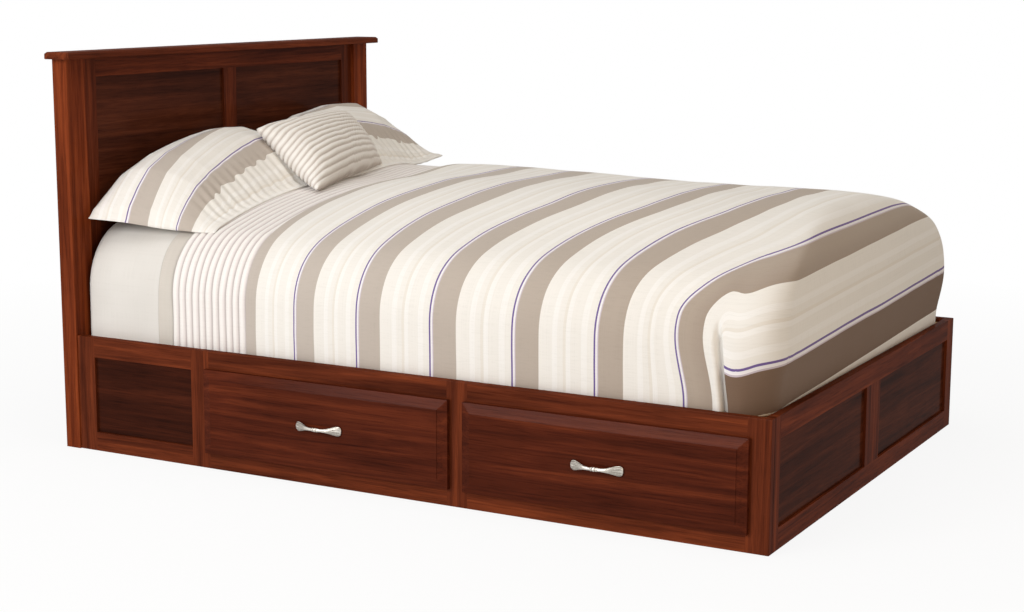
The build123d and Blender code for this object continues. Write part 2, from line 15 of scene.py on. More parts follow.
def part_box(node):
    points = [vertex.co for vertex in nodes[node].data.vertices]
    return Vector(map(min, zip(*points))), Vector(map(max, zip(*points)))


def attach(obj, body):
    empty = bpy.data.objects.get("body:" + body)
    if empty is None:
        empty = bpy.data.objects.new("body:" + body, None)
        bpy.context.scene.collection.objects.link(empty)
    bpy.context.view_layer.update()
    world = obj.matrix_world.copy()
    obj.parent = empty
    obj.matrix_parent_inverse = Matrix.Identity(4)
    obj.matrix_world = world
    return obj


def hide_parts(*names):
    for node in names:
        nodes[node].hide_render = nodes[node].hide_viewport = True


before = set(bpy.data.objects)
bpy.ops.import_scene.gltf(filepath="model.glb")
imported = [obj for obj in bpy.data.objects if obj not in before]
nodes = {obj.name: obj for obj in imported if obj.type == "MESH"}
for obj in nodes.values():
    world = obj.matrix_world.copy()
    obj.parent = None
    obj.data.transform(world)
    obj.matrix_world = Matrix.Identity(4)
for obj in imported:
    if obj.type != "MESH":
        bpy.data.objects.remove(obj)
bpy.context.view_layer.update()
print("CAD nodes:", len(nodes))

# %% [markdown]
# ## Working with finishes
# A finish is a set of shader nodes. These helpers add one node and set its inputs in a single call, so that
# each recipe below reads from the coordinates to the shader. Colours are written as a photo shows them,
# from 0 to 255, and turned into the linear values that a shader expects.

# %% Shader helpers
def tone(red, green, blue):
    """A colour as seen on a screen, as a linear colour for a shader."""
    def linear(c):
        c = c / 255
        return c / 12.92 if c <= 0.04045 else ((c + 0.055) / 1.055) ** 2.4
    return (linear(red), linear(green), linear(blue), 1.0)


def new_finish(name):
    """An empty material: its node tree and its Principled shader."""
    material = bpy.data.materials.new(name)
    material.use_nodes = True
    return material, material.node_tree, material.node_tree.nodes["Principled BSDF"]


def set_inputs(tree, node, inputs):
    """Give a node its inputs: values, or the outputs of other nodes."""
    for key, value in inputs.items():
        if isinstance(value, bpy.types.NodeSocket):
            tree.links.new(value, node.inputs[key])
        else:
            node.inputs[key].default_value = value


def add(tree, kind, inputs=None, **settings):
    """One node with its settings and inputs."""
    node = tree.nodes.new(kind)
    for key, value in settings.items():
        setattr(node, key, value)
    set_inputs(tree, node, inputs or {})
    return node


def ramp(tree, factor, stops, interpolation="LINEAR"):
    """A colour ramp from a list of (position, colour)."""
    node = add(tree, "ShaderNodeValToRGB", {"Fac": factor})
    node.color_ramp.interpolation = interpolation
    elements = node.color_ramp.elements
    while len(elements) < len(stops):
        elements.new(1.0)
    for element, (position, colour) in zip(elements, stops):
        element.position = position
        element.color = colour
    return node.outputs["Color"]


def mix(tree, factor, first, second, blend="MIX"):
    """Two colours mixed."""
    inputs = {0: factor, 6: first, 7: second}
    return add(tree, "ShaderNodeMix", inputs, data_type="RGBA", blend_type=blend).outputs[2]


def laid_out(tree, vector, scale=(1, 1, 1), shift=(0, 0, 0)):
    """Coordinates stretched by a scale and moved by a shift."""
    return add(tree, "ShaderNodeMapping", {"Vector": vector, "Location": shift, "Scale": scale}).outputs[0]


def cloudy(tree, vector, scale, detail, **more):
    """Noise from 0 to 1."""
    inputs = {"Vector": vector, "Scale": scale, "Detail": detail, **more}
    return add(tree, "ShaderNodeTexNoise", inputs).outputs["Fac"]


def reckon(tree, operation, *values):
    """One step of reckoning with one or two values."""
    return add(tree, "ShaderNodeMath", dict(enumerate(values)), operation=operation).outputs[0]


def part_of(tree, vector, axis):
    """The X, Y or Z of a vector."""
    return add(tree, "ShaderNodeSeparateXYZ", {"Vector": vector}).outputs[axis]


def between(tree, value, low, high):
    """A value from 0 to 1 turned into one from low to high."""
    inputs = {"Value": value, "To Min": low, "To Max": high}
    return add(tree, "ShaderNodeMapRange", inputs).outputs["Result"]


def height(tree, shader, value, distance, strength):
    """Let a value stand out of the surface by up to a distance in metres."""
    bump = add(tree, "ShaderNodeBump", {"Height": value, "Distance": distance, "Strength": strength})
    set_inputs(tree, shader, {"Normal": bump.outputs["Normal"]})


print("shader helpers ready")

# %% [markdown]
# ## Stained cherry
# The frame is a close-grained wood under a dark red-brown stain and a satin lacquer. The stain sinks in
# unevenly, so there are three layers: long soft streaks along the grain, short dark pores, and broad blotches
# where the orange wood shines through. Noise that is squeezed across the grain gives streaks, and the boards
# differ in direction, so there is one recipe with the grain's axis and a shift to cut each board elsewhere.

# %% The stain recipe
def stretched(grain, across, along):
    """Noise scales that draw streaks along one axis."""
    scale = [across] * 3
    scale[grain] = along
    return scale


def stained_wood(name, grain, dark, middle, light, shift, gloss=0.34):
    """A lacquered wood whose grain runs along axis 0, 1 or 2."""
    material, tree, shader = new_finish(name)
    place = add(tree, "ShaderNodeTexCoord").outputs["Object"]
    streak_place = laid_out(tree, place, stretched(grain, 15.0, 0.6), shift)
    pore_place = laid_out(tree, place, stretched(grain, 420.0, 14.0), shift)
    streaks = cloudy(tree, streak_place, 2.6, 7.0, Roughness=0.62, Distortion=0.8)
    pores = cloudy(tree, pore_place, 1.0, 2.0, Roughness=0.5)
    blotches = cloudy(tree, laid_out(tree, place, shift=shift), 3.5, 3.0, Roughness=0.55)
    stain = ramp(tree, streaks, [(0.30, dark), (0.52, middle), (0.74, light)])
    glow = ramp(tree, blotches, [(0.35, (0.80, 0.78, 0.77, 1)), (0.65, (1.08, 1.05, 1.03, 1))])
    blotched = mix(tree, 0.75, stain, glow, "MULTIPLY")
    pored = ramp(tree, pores, [(0.36, (0.55, 0.52, 0.5, 1)), (0.47, (1, 1, 1, 1))])
    set_inputs(tree, shader, {
        "Base Color": mix(tree, 0.55, blotched, pored, "MULTIPLY"),
        "Roughness": between(tree, streaks, gloss - 0.05, gloss + 0.10),
        "Coat Weight": 0.07, "Coat Roughness": 0.16, "Specular IOR Level": 0.0,
    })
    height(tree, shader, pores, 0.00012, 0.5)
    return material


rail_tones = (tone(66, 27, 14), tone(102, 47, 26), tone(136, 66, 36))
panel_tones = (tone(40, 16, 9), tone(58, 25, 14), tone(77, 35, 20))
# Painted light: the panels that face the head and foot stand in shade, so they get a lighter, greyer copy of
# the panel stain, with the white sheen of their lacquer painted in.
end_tones_with_painted_light = (tone(54, 25, 15), tone(78, 38, 23), tone(100, 52, 32))
front_tones = (tone(58, 23, 13), tone(82, 35, 20), tone(108, 50, 28))
# Painted light: the posts get a brighter, more orange copy of the stain that the stiles and rails wear.
post_tones_with_painted_light = (tone(78, 30, 14), tone(120, 54, 27), tone(156, 76, 38))
rail_x = stained_wood("cherry_rail_lengthwise", 0, *rail_tones, (0.3, 1.7, 4.1))
rail_y = stained_wood("cherry_rail_crosswise", 1, *rail_tones, (2.3, 0.4, 1.3))
stile_z = stained_wood("cherry_stile_upright", 2, *rail_tones, (5.1, 3.3, 0.6))
post_z = stained_wood("cherry_post_upright", 2, *post_tones_with_painted_light, (7.7, 1.9, 2.2))
panel_x = stained_wood("cherry_panel_side", 0, *panel_tones, (1.1, 6.2, 0.9))
panel_y = stained_wood("cherry_panel_end", 1, *end_tones_with_painted_light, (3.9, 2.8, 5.4))
front_head = stained_wood("cherry_front_head", 0, *front_tones, (8.2, 4.4, 3.1), 0.30)
front_foot = stained_wood("cherry_front_foot", 0, *front_tones, (4.6, 9.5, 6.8), 0.30)
print("cherry finishes: 8")

# %% [markdown]
# ## The wood and metal that nobody sees until a drawer opens
# Drawer boxes are pale clear-lacquered maple, the deck and dividers are plywood, and the slides are zinc
# plated. They get quieter recipes of the same kind: streaks for wood, and a brushed noise for metal.

# %% Inner finishes
def pale_wood(name, grain, dark, light, shift, end_grain=None):
    """Bare or clear-lacquered pale wood; boards that face Y may have their grain along another axis."""
    material, tree, shader = new_finish(name)
    place = add(tree, "ShaderNodeTexCoord").outputs["Object"]
    across, along = 16.0, 1.1
    laid = laid_out(tree, place, stretched(grain, across, along), shift)
    if end_grain is not None:
        turned = laid_out(tree, place, stretched(end_grain, across, along), shift)
        facing = add(tree, "ShaderNodeNewGeometry").outputs["Normal"]
        sideways = reckon(tree, "ABSOLUTE", part_of(tree, facing, "Y"))
        laid = mix(tree, sideways, laid, turned)
    streaks = cloudy(tree, laid, 3.0, 6.0, Distortion=1.1)
    set_inputs(tree, shader, {
        "Base Color": ramp(tree, streaks, [(0.3, dark), (0.7, light)]),
        "Roughness": between(tree, streaks, 0.42, 0.6),
    })
    height(tree, shader, streaks, 0.0002, 0.3)
    return material


def plated_metal(name, dark, light, roughness, stretch):
    """Metal with fine brushing marks and cloudy plating."""
    material, tree, shader = new_finish(name)
    place = add(tree, "ShaderNodeTexCoord").outputs["Object"]
    brushing = cloudy(tree, laid_out(tree, place, stretch), 40.0, 4.0)
    set_inputs(tree, shader, {
        "Base Color": ramp(tree, brushing, [(0.3, dark), (0.7, light)]),
        "Roughness": between(tree, brushing, roughness - 0.06, roughness + 0.1), "Metallic": 1.0,
    })
    return material


maple = pale_wood("clear_maple", 1, tone(196, 160, 116), tone(226, 196, 152), (1.0, 2.0, 3.0), end_grain=0)
maple_base = pale_wood("clear_maple_base", 0, tone(188, 150, 106), tone(222, 190, 146), (4.0, 1.0, 2.0))
ply_tones = (tone(176, 140, 98), tone(206, 174, 130))
plywood = pale_wood("birch_plywood", 0, *ply_tones, (3.0, 7.0, 1.0))
plywood_cross = pale_wood("birch_plywood_cross", 1, *ply_tones, (6.0, 2.0, 5.0))
zinc = plated_metal("zinc_plate", (0.42, 0.43, 0.44, 1), (0.60, 0.61, 0.62, 1), 0.34, (1, 14, 1))
print("inner finishes: 5")

# %% [markdown]
# ## Dressing the CAD nodes
# A CAD node is never moved or reshaped. It only takes a finish: rails get grain along their length, stiles
# and posts get upright grain, and panels and drawer fronts get their own darker, calmer boards.

# %% Hand out the finishes
finish_by_ending = (
    (("_slides", "_slide_rails", "slide_tracks", "bed_bolts", "_screws"), zinc),
    (("_drawer_box",), maple), (("_drawer_bottom",), maple_base), (("cross_dividers",), plywood_cross),
    (("centre_spine", "deck_cleats", "deck_panels"), plywood),
    (("_head_drawer_front",), front_head), (("_foot_drawer_front",), front_foot),
    (("_post",), post_z), (("stiles",), stile_z), (("_side_panel",), panel_x), (("panels",), panel_y),
)


def finish_for(name):
    """The finish of one CAD node, from the first ending that fits its name; the rest are rails."""
    for endings, finish in finish_by_ending:
        if name.endswith(endings):
            return finish
    return rail_x if "_side_" in name else rail_y


soft_nodes = ("mattress", "coverlet", "comforter", "left_sham", "right_sham", "cushion")
dressed = [name for name in nodes if name not in soft_nodes and not name.endswith("_pull")]
for name in dressed:
    nodes[name].data.materials.clear()
    nodes[name].data.materials.append(finish_for(name))
print("dressed", len(dressed), "CAD nodes")

# %% [markdown]
# ## Working with objects
# Blender's operators act on what is selected. These helpers pick one piece, give it a modifier that is
# applied at once, run an operator on all its points, or join several pieces into one.

# %% Object helpers
def pick(piece):
    """Select one piece alone and make it the active one."""
    bpy.ops.object.select_all(action="DESELECT")
    piece.select_set(True)
    bpy.context.view_layer.objects.active = piece


def modify(piece, kind, **settings):
    """Add a modifier to a piece and apply it."""
    pick(piece)
    bpy.ops.object.modifier_add(type=kind)
    modifier = piece.modifiers[-1]
    for key, value in settings.items():
        setattr(modifier, key, value)
    bpy.ops.object.modifier_apply(modifier=modifier.name)


def join(pieces, name):
    """Several objects as one, named, at the origin."""
    pick(pieces[0])
    for piece in pieces[1:]:
        piece.select_set(True)
    bpy.ops.object.join()
    joined = bpy.context.active_object
    joined.name = name
    bpy.ops.object.transform_apply(location=True, rotation=True, scale=True)
    return joined


def on_all_points(operator, **settings):
    """Run an operator of edit mode on every point of the active piece."""
    bpy.ops.object.mode_set(mode="EDIT")
    bpy.ops.mesh.select_all(action="SELECT")
    operator(**settings)
    bpy.ops.object.mode_set(mode="OBJECT")


def smooth_piece(piece, levels):
    """Smooth shading over an applied subdivision."""
    if levels:
        modify(piece, "SUBSURF", levels=levels, render_levels=levels)
    pick(piece)
    bpy.ops.object.shade_smooth()


print("object helpers ready")

# %% [markdown]
# ## Bow pulls
# Each drawer has one cast bow pull: a slim bar with a beaded collar in the middle that swells at both ends
# into a fluted shell lying on the wood. A caster would turn it on a wax, so it is made the same way: a ring
# is extruded along the bar, and at every station it is moved and scaled. The flutes are then pressed in by
# drawing lines of points towards the bar's middle line.

# %% Draw the bar from a ring
pull_points = 48
half_stations = (  # along the bar, half height, half depth, centre's distance from the wood, in millimetres
    (0.0, 5.6, 5.6, 18.4), (2.4, 5.5, 5.5, 18.4), (3.6, 4.2, 4.2, 18.4), (4.6, 4.2, 4.2, 18.4),
    (5.8, 5.3, 5.3, 18.4), (7.2, 5.2, 5.2, 18.3), (8.4, 4.1, 4.1, 18.2), (14.0, 4.1, 4.0, 18.0),
    (21.0, 4.4, 4.2, 17.2), (28.0, 5.2, 4.6, 15.6), (35.0, 6.8, 5.2, 13.2), (42.0, 8.8, 5.6, 10.4),
    (48.0, 10.6, 5.6, 8.0), (54.0, 12.0, 5.2, 6.2), (59.0, 12.4, 4.6, 5.0), (63.0, 11.4, 3.9, 4.2),
    (66.0, 9.0, 3.2, 3.5), (67.8, 5.6, 2.4, 2.7), (68.5, 2.4, 1.4, 2.0),
)
stations = [(-x, h, d, c) for x, h, d, c in reversed(half_stations[1:])] + list(half_stations)


def pull_bar(centre, outwards):
    """The bar of one pull, laid along X on a drawer front whose outside is towards -Y or +Y."""
    x, z_half, y_half, out = (v / 1000 for v in stations[0])
    bpy.ops.mesh.primitive_circle_add(
        vertices=pull_points, radius=1.0, fill_type="NGON", rotation=(0, math.pi / 2, 0)
    )
    bar = bpy.context.active_object
    bpy.ops.object.transform_apply(rotation=True)
    bpy.ops.object.mode_set(mode="EDIT")
    bpy.ops.mesh.select_all(action="SELECT")
    bpy.ops.transform.resize(value=(1, y_half, z_half))
    bpy.ops.transform.translate(value=centre + Vector((x, outwards * out, 0)))
    for before, after in zip(stations, stations[1:]):
        step = (after[0] - before[0], outwards * (after[3] - before[3]), 0)
        bpy.ops.mesh.extrude_region_move(TRANSFORM_OT_translate={"value": Vector(step) / 1000})
        here = centre + Vector((after[0], outwards * after[3], 0)) / 1000
        bpy.ops.transform.resize(
            value=(1, after[2] / before[2], after[1] / before[1]), center_override=here
        )
    bpy.ops.object.mode_set(mode="OBJECT")
    on_all_points(bpy.ops.mesh.normals_make_consistent, inside=False)
    return bar


print("pull stations:", len(stations))

# %% [markdown]
# The flutes run from the waist to the shell's rim and fade at both ends. A point attribute keeps how deep
# each point was pressed, and marks the collar's grooves, so that the finish can leave a little dark patina in
# the hollows. Two round feet carry the bar on the wood, over the screws.

# %% Press the flutes, add the feet
flute_count, flute_depth, flute_roundness = 8, 0.16, 0.8
flute_from, flute_fade = 0.024, 0.016
shell_rim, rim_fade = 0.0685, 0.006
groove_place, groove_width = 0.0041, 0.0013
foot_spacing, pull_foot_radius, pull_foot_length, pull_foot_edge = 0.096, 0.0045, 0.007, 0.0006


def flute_bar(bar, centre, outwards):
    """Press hollows along the shells and note their depth."""
    xs = [s[0] / 1000 for s in stations]
    outs = [s[3] / 1000 for s in stations]
    patina = bar.data.attributes.new("patina", "FLOAT", "POINT")
    for point in bar.data.vertices:
        x = point.co.x - centre.x
        axis = Vector((point.co.x, centre.y + outwards * float(np.interp(x, xs, outs)), centre.z))
        arm = point.co - axis
        angle = math.atan2(arm.z, arm.y)
        reach = min(max((abs(x) - flute_from) / flute_fade, 0), 1)
        reach *= min(max((shell_rim - abs(x)) / rim_fade, 0), 1)
        press = reach * (0.5 - 0.5 * math.cos(flute_count * 2 * angle)) ** flute_roundness
        collar = max(0.0, 1 - abs(abs(x) - groove_place) / groove_width)
        point.co = axis + arm * (1 - flute_depth * press)
        patina.data[point.index].value = max(press, collar)


def pull_foot(centre, outwards, along):
    """One round foot between the bar and the wood, with soft edges."""
    place = centre + Vector((along, outwards * pull_foot_length / 2, 0))
    bpy.ops.mesh.primitive_cylinder_add(
        vertices=32, radius=pull_foot_radius, depth=pull_foot_length,
        location=place, rotation=(math.pi / 2, 0, 0),
    )
    foot = bpy.context.active_object
    bpy.ops.object.transform_apply(location=True, rotation=True)
    modify(foot, "BEVEL", width=pull_foot_edge, segments=2)
    foot.data.attributes.new("patina", "FLOAT", "POINT")
    return foot


print("flutes round a shell:", 2 * flute_count)

# %% Satin nickel
nickel, tree, shader = new_finish("satin_nickel_casting")
patina = add(tree, "ShaderNodeAttribute", attribute_name="patina").outputs["Fac"]
nickel_place = add(tree, "ShaderNodeTexCoord").outputs["Object"]
clouding = cloudy(tree, nickel_place, 260.0, 3.0)
worn = ramp(tree, clouding, [(0.35, tone(196, 190, 180)), (0.65, tone(222, 217, 208))])
set_inputs(tree, shader, {
    "Base Color": mix(tree, patina, worn, tone(120, 112, 102)),
    "Roughness": between(tree, clouding, 0.22, 0.38), "Metallic": 1.0,
})
height(tree, shader, clouding, 0.0001, 0.25)
print("finish:", nickel.name)

# %% Make the four pulls
for side, outwards in (("left", -1), ("right", 1)):
    for place in ("head", "foot"):
        cad_pull = f"{side}_{place}_drawer_pull"
        low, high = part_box(cad_pull)
        front_low, front_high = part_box(f"{side}_{place}_drawer_front")
        wood_y = front_low.y if outwards < 0 else front_high.y
        centre = Vector(((low.x + high.x) / 2, wood_y, (low.z + high.z) / 2))
        bar = pull_bar(centre, outwards)
        flute_bar(bar, centre, outwards)
        feet = [pull_foot(centre, outwards, along) for along in (-foot_spacing / 2, foot_spacing / 2)]
        smooth_piece(bar, 1)
        pull = join([bar] + feet, f"{side}_{place}_bow_pull")
        pull.data.materials.append(nickel)
        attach(pull, f"{side}_{place}_drawer")
        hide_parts(cad_pull)
print("bow pulls: 4")

# %% [markdown]
# ## The bed's dome
# The mattress, coverlet and comforter share one shape: upright sides that turn in over a soft shoulder to a
# low crown. A cloth over it is a grid whose rows lie across the bed. Each point is moved to its place on the
# dome, as one lays a sheet by hand, and keeps its place on the flat cloth as its UV, so that a woven stripe
# follows the cloth and not the room.

# %% The dome
def cad_corners(name):
    """The low and high corner of a CAD node's box as X, Y and Z, to a tenth of a millimetre."""
    return [[round(value, 4) for value in corner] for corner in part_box(name)]


mattress_low, mattress_high = cad_corners("mattress")
comforter_low, comforter_high = cad_corners("comforter")
# A dome is its half width, crown height, shoulder radius and crown radius.
mattress_dome = (mattress_high[1], mattress_high[2], 0.170, 2.100)
comforter_dome = (comforter_high[1], comforter_high[2], 0.179, 1.550)
deck_gap = 0.001
deck_top = cad_corners("deck_panels")[1][2] + deck_gap
far_x = [-0.95, -0.43, -0.10, 0.15, 0.39, 0.68, 0.86, 1.00]
far_lift = [0.050, 0.046, 0.039, 0.028, 0.018, 0.018, 0.010, 0.004]
far_half = (0.05, 0.42, 0.48, 0.69)  # where the lift starts, is full, begins to fade and ends across the bed
dome_samples, ceiling_blend = 1501, 0.012


def grown(dome, by):
    """The same dome, further out."""
    half, top, corner, crown = dome
    return (half + by, top + by, corner + by, crown + by)


def dome_height(y, dome):
    """Height of a dome at distances y from the middle of the bed."""
    half, top, corner, crown = dome
    rise = math.sqrt((crown - corner) ** 2 - (half - corner) ** 2)
    shoulder = top - crown + rise
    meet = half - corner + corner * math.cos(math.atan2(rise, half - corner))
    y = np.clip(np.abs(y), 0, half)
    crowned = top - crown + np.sqrt(crown**2 - np.minimum(y, meet) ** 2)
    turned = shoulder + np.sqrt(np.maximum(corner**2 - (np.maximum(y, meet) - half + corner) ** 2, 0))
    return np.where(y <= meet, crowned, turned)


print("dome tops:", round(mattress_dome[1], 3), round(comforter_dome[1], 3))

# %% Soft steps and noise
def smooth_step(value, low, high):
    """0 below low, 1 above high, and a soft turn between."""
    share = min(max((value - low) / (high - low), 0.0), 1.0)
    return share * share * (3 - 2 * share)


def hump(value, rise_from, rise_to, fall_from, fall_to):
    """0, then 1 after a soft rise, then 0 again after a soft fall."""
    return smooth_step(value, rise_from, rise_to) * (1 - smooth_step(value, fall_from, fall_to))


def bell(value, width):
    """1 at 0, and softly less on both sides until nothing is left two or three widths away."""
    return math.exp(-((value / width) ** 2))


def read_off(value, places, amounts):
    """The amount at a value, on straight lines between a table's places."""
    return float(np.interp(value, places, amounts))


def bumps(a, b, c):
    """Smooth noise from about -1 to 1."""
    return noise.noise(Vector((a, b, c)))


def wave(co, size, seed):
    """Smooth noise with bumps of a size in metres."""
    return bumps(co.x / size + seed, co.y / size - seed, co.z / size + 2 * seed)


print("half of a soft step:", smooth_step(0.5, 0.0, 1.0))

# %% Rows across the bed
def far_swell(x, y):
    """The bedding lies fuller on the far half of the bed, most of all near the head."""
    return read_off(x, far_x, far_lift) * hump(y, *far_half)


def across_line(x, dome, half_now, ceiling, wall_rows, top_rows):
    """Points (y, z) of one row across the bed, up one wall, over the dome and down the other."""
    share = np.sin(np.linspace(-math.pi / 2, math.pi / 2, dome_samples))
    z = dome_height(share * dome[0], dome) + [far_swell(x, y) for y in share * dome[0]]
    z = -ceiling_blend * np.log(np.exp(-z / ceiling_blend) + np.exp(-ceiling / ceiling_blend))
    y = share * half_now
    run = np.concatenate([[0], np.cumsum(np.hypot(np.diff(y), np.diff(z)))])
    even = np.linspace(0, run[-1], top_rows + 1)
    top_y, top_z = np.interp(even, run, y), np.interp(even, run, z)
    wall_z = np.linspace(deck_top, z[0], wall_rows + 1)[:-1]
    wall_y = np.full(wall_rows, half_now)
    line_y = np.concatenate([-wall_y, top_y, wall_y])
    line_z = np.concatenate([wall_z, top_z, wall_z[::-1]])
    return line_y, line_z


print("largest swell on the far half:", max(far_lift))

# %% Cloth tools
def cloth_grid(name, along, across, place):
    """A grid laid point by point: place(i, j) gives a point and its place on the flat cloth."""
    bpy.ops.mesh.primitive_grid_add(x_subdivisions=along, y_subdivisions=across, size=1.0)
    piece = bpy.context.active_object
    piece.name = name
    mesh = piece.data
    laid = [place(round((v.co.x + 0.5) * along), round((v.co.y + 0.5) * across)) for v in mesh.vertices]
    for point, (co, flat) in zip(mesh.vertices, laid):
        point.co = co
    flat_map = mesh.uv_layers.active.data
    for loop in mesh.loops:
        flat_map[loop.index].uv = laid[loop.vertex_index][1]
    return piece


def sew(pieces, name, gap=0.0005):
    """Join grids along the edges where their points meet."""
    piece = join(pieces, name)
    on_all_points(bpy.ops.mesh.remove_doubles, threshold=gap)
    return piece


def push(piece, amount):
    """Move each point along its normal by amount(point), as a hand smooths or dents cloth."""
    mesh = piece.data
    mesh.update()
    moves = [v.normal * amount(v.co) for v in mesh.vertices]
    for point, move in zip(mesh.vertices, moves):
        point.co += move


def thicken(piece, by):
    """Give a cloth its thickness, inwards."""
    modify(piece, "SOLIDIFY", thickness=by, offset=-1.0)


print("cloth tools ready")

# %% [markdown]
# ## Cotton finishes
# All bedding is plain-woven cotton. Close up, a weave is two sets of threads, so two fine wave patterns along
# the cloth's own directions make the bump, and slow noise that is stretched along the threads makes the slubs
# and faint streaks. Sheen gives the soft rim of light that cotton fuzz has.

# %% The weave recipe
thread_scale = 900.0 / 6.283
long_slubs, cross_slubs = (3.0, 130.0, 1.0), (240.0, 6.0, 1.0)


def cotton(name, colour_of, slub, weave=0.00018):
    """Woven cotton; colour_of(tree, flat, place) gives its colour from the cloth's UV and place."""
    material, tree, shader = new_finish(name)
    source = add(tree, "ShaderNodeTexCoord")
    flat, place = source.outputs["UV"], source.outputs["Object"]
    colour = colour_of(tree, flat, place)
    streaks = cloudy(tree, laid_out(tree, flat, long_slubs), 1.0, 5.0)
    cross = cloudy(tree, laid_out(tree, flat, cross_slubs), 1.0, 3.0)
    slubs = reckon(tree, "ADD", streaks, cross)
    shade = ramp(tree, between(tree, slubs, -0.5, 0.5), [
        (0.25, (1 - slub, 1 - slub, 1 - 1.1 * slub, 1)), (0.75, (1, 1, 1, 1)),
    ])
    warp = add(tree, "ShaderNodeTexWave", {"Vector": flat, "Scale": thread_scale}, bands_direction="X")
    weft = add(tree, "ShaderNodeTexWave", {"Vector": flat, "Scale": thread_scale}, bands_direction="Y")
    threads = reckon(tree, "MULTIPLY", warp.outputs["Fac"], weft.outputs["Fac"])
    height(tree, shader, reckon(tree, "ADD", threads, slubs), weave, 0.6)
    set_inputs(tree, shader, {
        "Base Color": mix(tree, 1.0, colour, shade, "MULTIPLY"),
        "Roughness": between(tree, streaks, 0.82, 0.95),
        "Sheen Weight": 0.12, "Sheen Roughness": 0.5, "Specular IOR Level": 0.2,
    })
    return material


def plain_colour(cloud_scale, dark, light):
    """Colour of a plain cloth, a little uneven in broad clouds."""
    def colour(tree, flat, place):
        return ramp(tree, cloudy(tree, place, cloud_scale, 2.0), [(0.3, dark), (0.7, light)])

    return colour


sheet_white = plain_colour(5.0, tone(214, 211, 206), tone(222, 219, 215))
turned_white = plain_colour(6.0, tone(200, 193, 185), tone(207, 201, 193))
white_cotton = cotton("white_percale", sheet_white, 0.05)
beige_cotton = cotton("ivory_percale", turned_white, 0.07)
print("plain cottons: 2")

# %% [markdown]
# ## Mattress in its fitted sheet
# Only a stretch near the head shows, but the mattress is whole. Its body is one grid across the bed, closed
# by two end grids that drop from the last rows, all sewn where they meet. A fitted sheet is tight on top, and
# its elastic hem draws small upright ripples into the sides.

# %% Loaf with two rounded ends
end_headroom = 0.01


def loaf_ends(x, span, end_radius, plan_radius, half, top, round_head=True):
    """Half width and ceiling of the row at x, near rounded ends."""
    low, high = span
    full_height = top + end_headroom
    ceiling, half_now = full_height, half
    for inside in (max(high - x, 0.0), max(x - low, 0.0) if round_head else 1.0):
        if inside < end_radius:
            rise = math.sqrt(end_radius**2 - (end_radius - inside) ** 2)
            ceiling = min(ceiling, full_height - end_radius + rise)
        if inside < plan_radius:
            side = plan_radius - math.sqrt(plan_radius**2 - (plan_radius - inside) ** 2)
            half_now = min(half_now, half - side)
    return half_now, ceiling


print("room above the crown at the ends:", end_headroom)

# %% Lay the mattress
mattress_span = (mattress_low[0], mattress_high[0])
mattress_end, mattress_plan = 0.050, 0.020
end_rows, body_rows, wall_rows, top_rows, mattress_row = 13, 70, 10, 90, 0.02
turn = np.sin(np.linspace(0, math.pi / 2, end_rows))
mattress_x = np.concatenate([
    mattress_span[0] + mattress_end * (1 - turn[::-1]),
    np.linspace(mattress_span[0] + mattress_end, mattress_span[1] - mattress_end, body_rows)[1:-1],
    mattress_span[1] - mattress_end * (1 - turn),
])
mattress_rows = []
for x in mattress_x:
    half_now, ceiling = loaf_ends(x, mattress_span, mattress_end, mattress_plan, *mattress_dome[:2])
    mattress_rows.append(across_line(x, mattress_dome, half_now, ceiling, wall_rows, top_rows))


def mattress_point(i, j):
    """A point of the mattress's body."""
    y, z = mattress_rows[i][0][j], mattress_rows[i][1][j]
    return Vector((mattress_x[i], y, z)), (mattress_x[i], j * mattress_row)


def end_panel(rows, row, x, inwards):
    """Place points of an end that drops from a row to the deck."""
    line_y, line_z = rows[row]

    def place(i, j):
        y, z = line_y[wall_rows + j], line_z[wall_rows + j]
        down = i / wall_rows if not inwards else 1 - i / wall_rows
        return Vector((x, y, z + (deck_top - z) * down)), (x + (z - deck_top) * down, j * mattress_row)

    return place


body = cloth_grid("mattress_body", len(mattress_x) - 1, 2 * wall_rows + top_rows, mattress_point)
foot_drop = end_panel(mattress_rows, -1, mattress_x[-1], False)
head_drop = end_panel(mattress_rows, 0, mattress_x[0], True)
foot_end = cloth_grid("mattress_foot_end", wall_rows, top_rows, foot_drop)
head_end = cloth_grid("mattress_head_end", wall_rows, top_rows, head_drop)
fitted_mattress = sew([body, foot_end, head_end], "fitted_mattress")


print("mattress points:", len(fitted_mattress.data.vertices))

# %% Ripples of the fitted sheet
ripple_top, ripple_fade, ripple_height, sheet_unevenness = 0.60, 0.22, 0.0022, 0.0012


def elastic_ripples(co):
    """Upright ripples on the sides, strongest near the hem, and a slow unevenness."""
    low = min(max((ripple_top - co.z) / ripple_fade, 0), 1)
    ripple = bumps(co.x * 22, co.y * 4, co.z * 2.0)
    return ripple_height * low * ripple + sheet_unevenness * wave(co, 0.25, 3.1) - sheet_unevenness


push(fitted_mattress, elastic_ripples)
smooth_piece(fitted_mattress, 1)
fitted_mattress.data.materials.append(white_cotton)
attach(fitted_mattress, "bed_frame")
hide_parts("mattress")
print("mattress faces:", len(fitted_mattress.data.polygons))

# %% [markdown]
# ## Turned-in sheet and ribbed coverlet
# Between the mattress and the comforter lie a narrow strip of top sheet and a coverlet with fat woven ribs
# across the bed. The ribs are real relief: each row of the grid stands out by a half-round, and slow noise
# shifts the rows so that the ribs wander a little, as cords in cloth do.

# %% Strips across the bed
strip_walls, strip_top, no_ceiling = 16, 150, 9.0


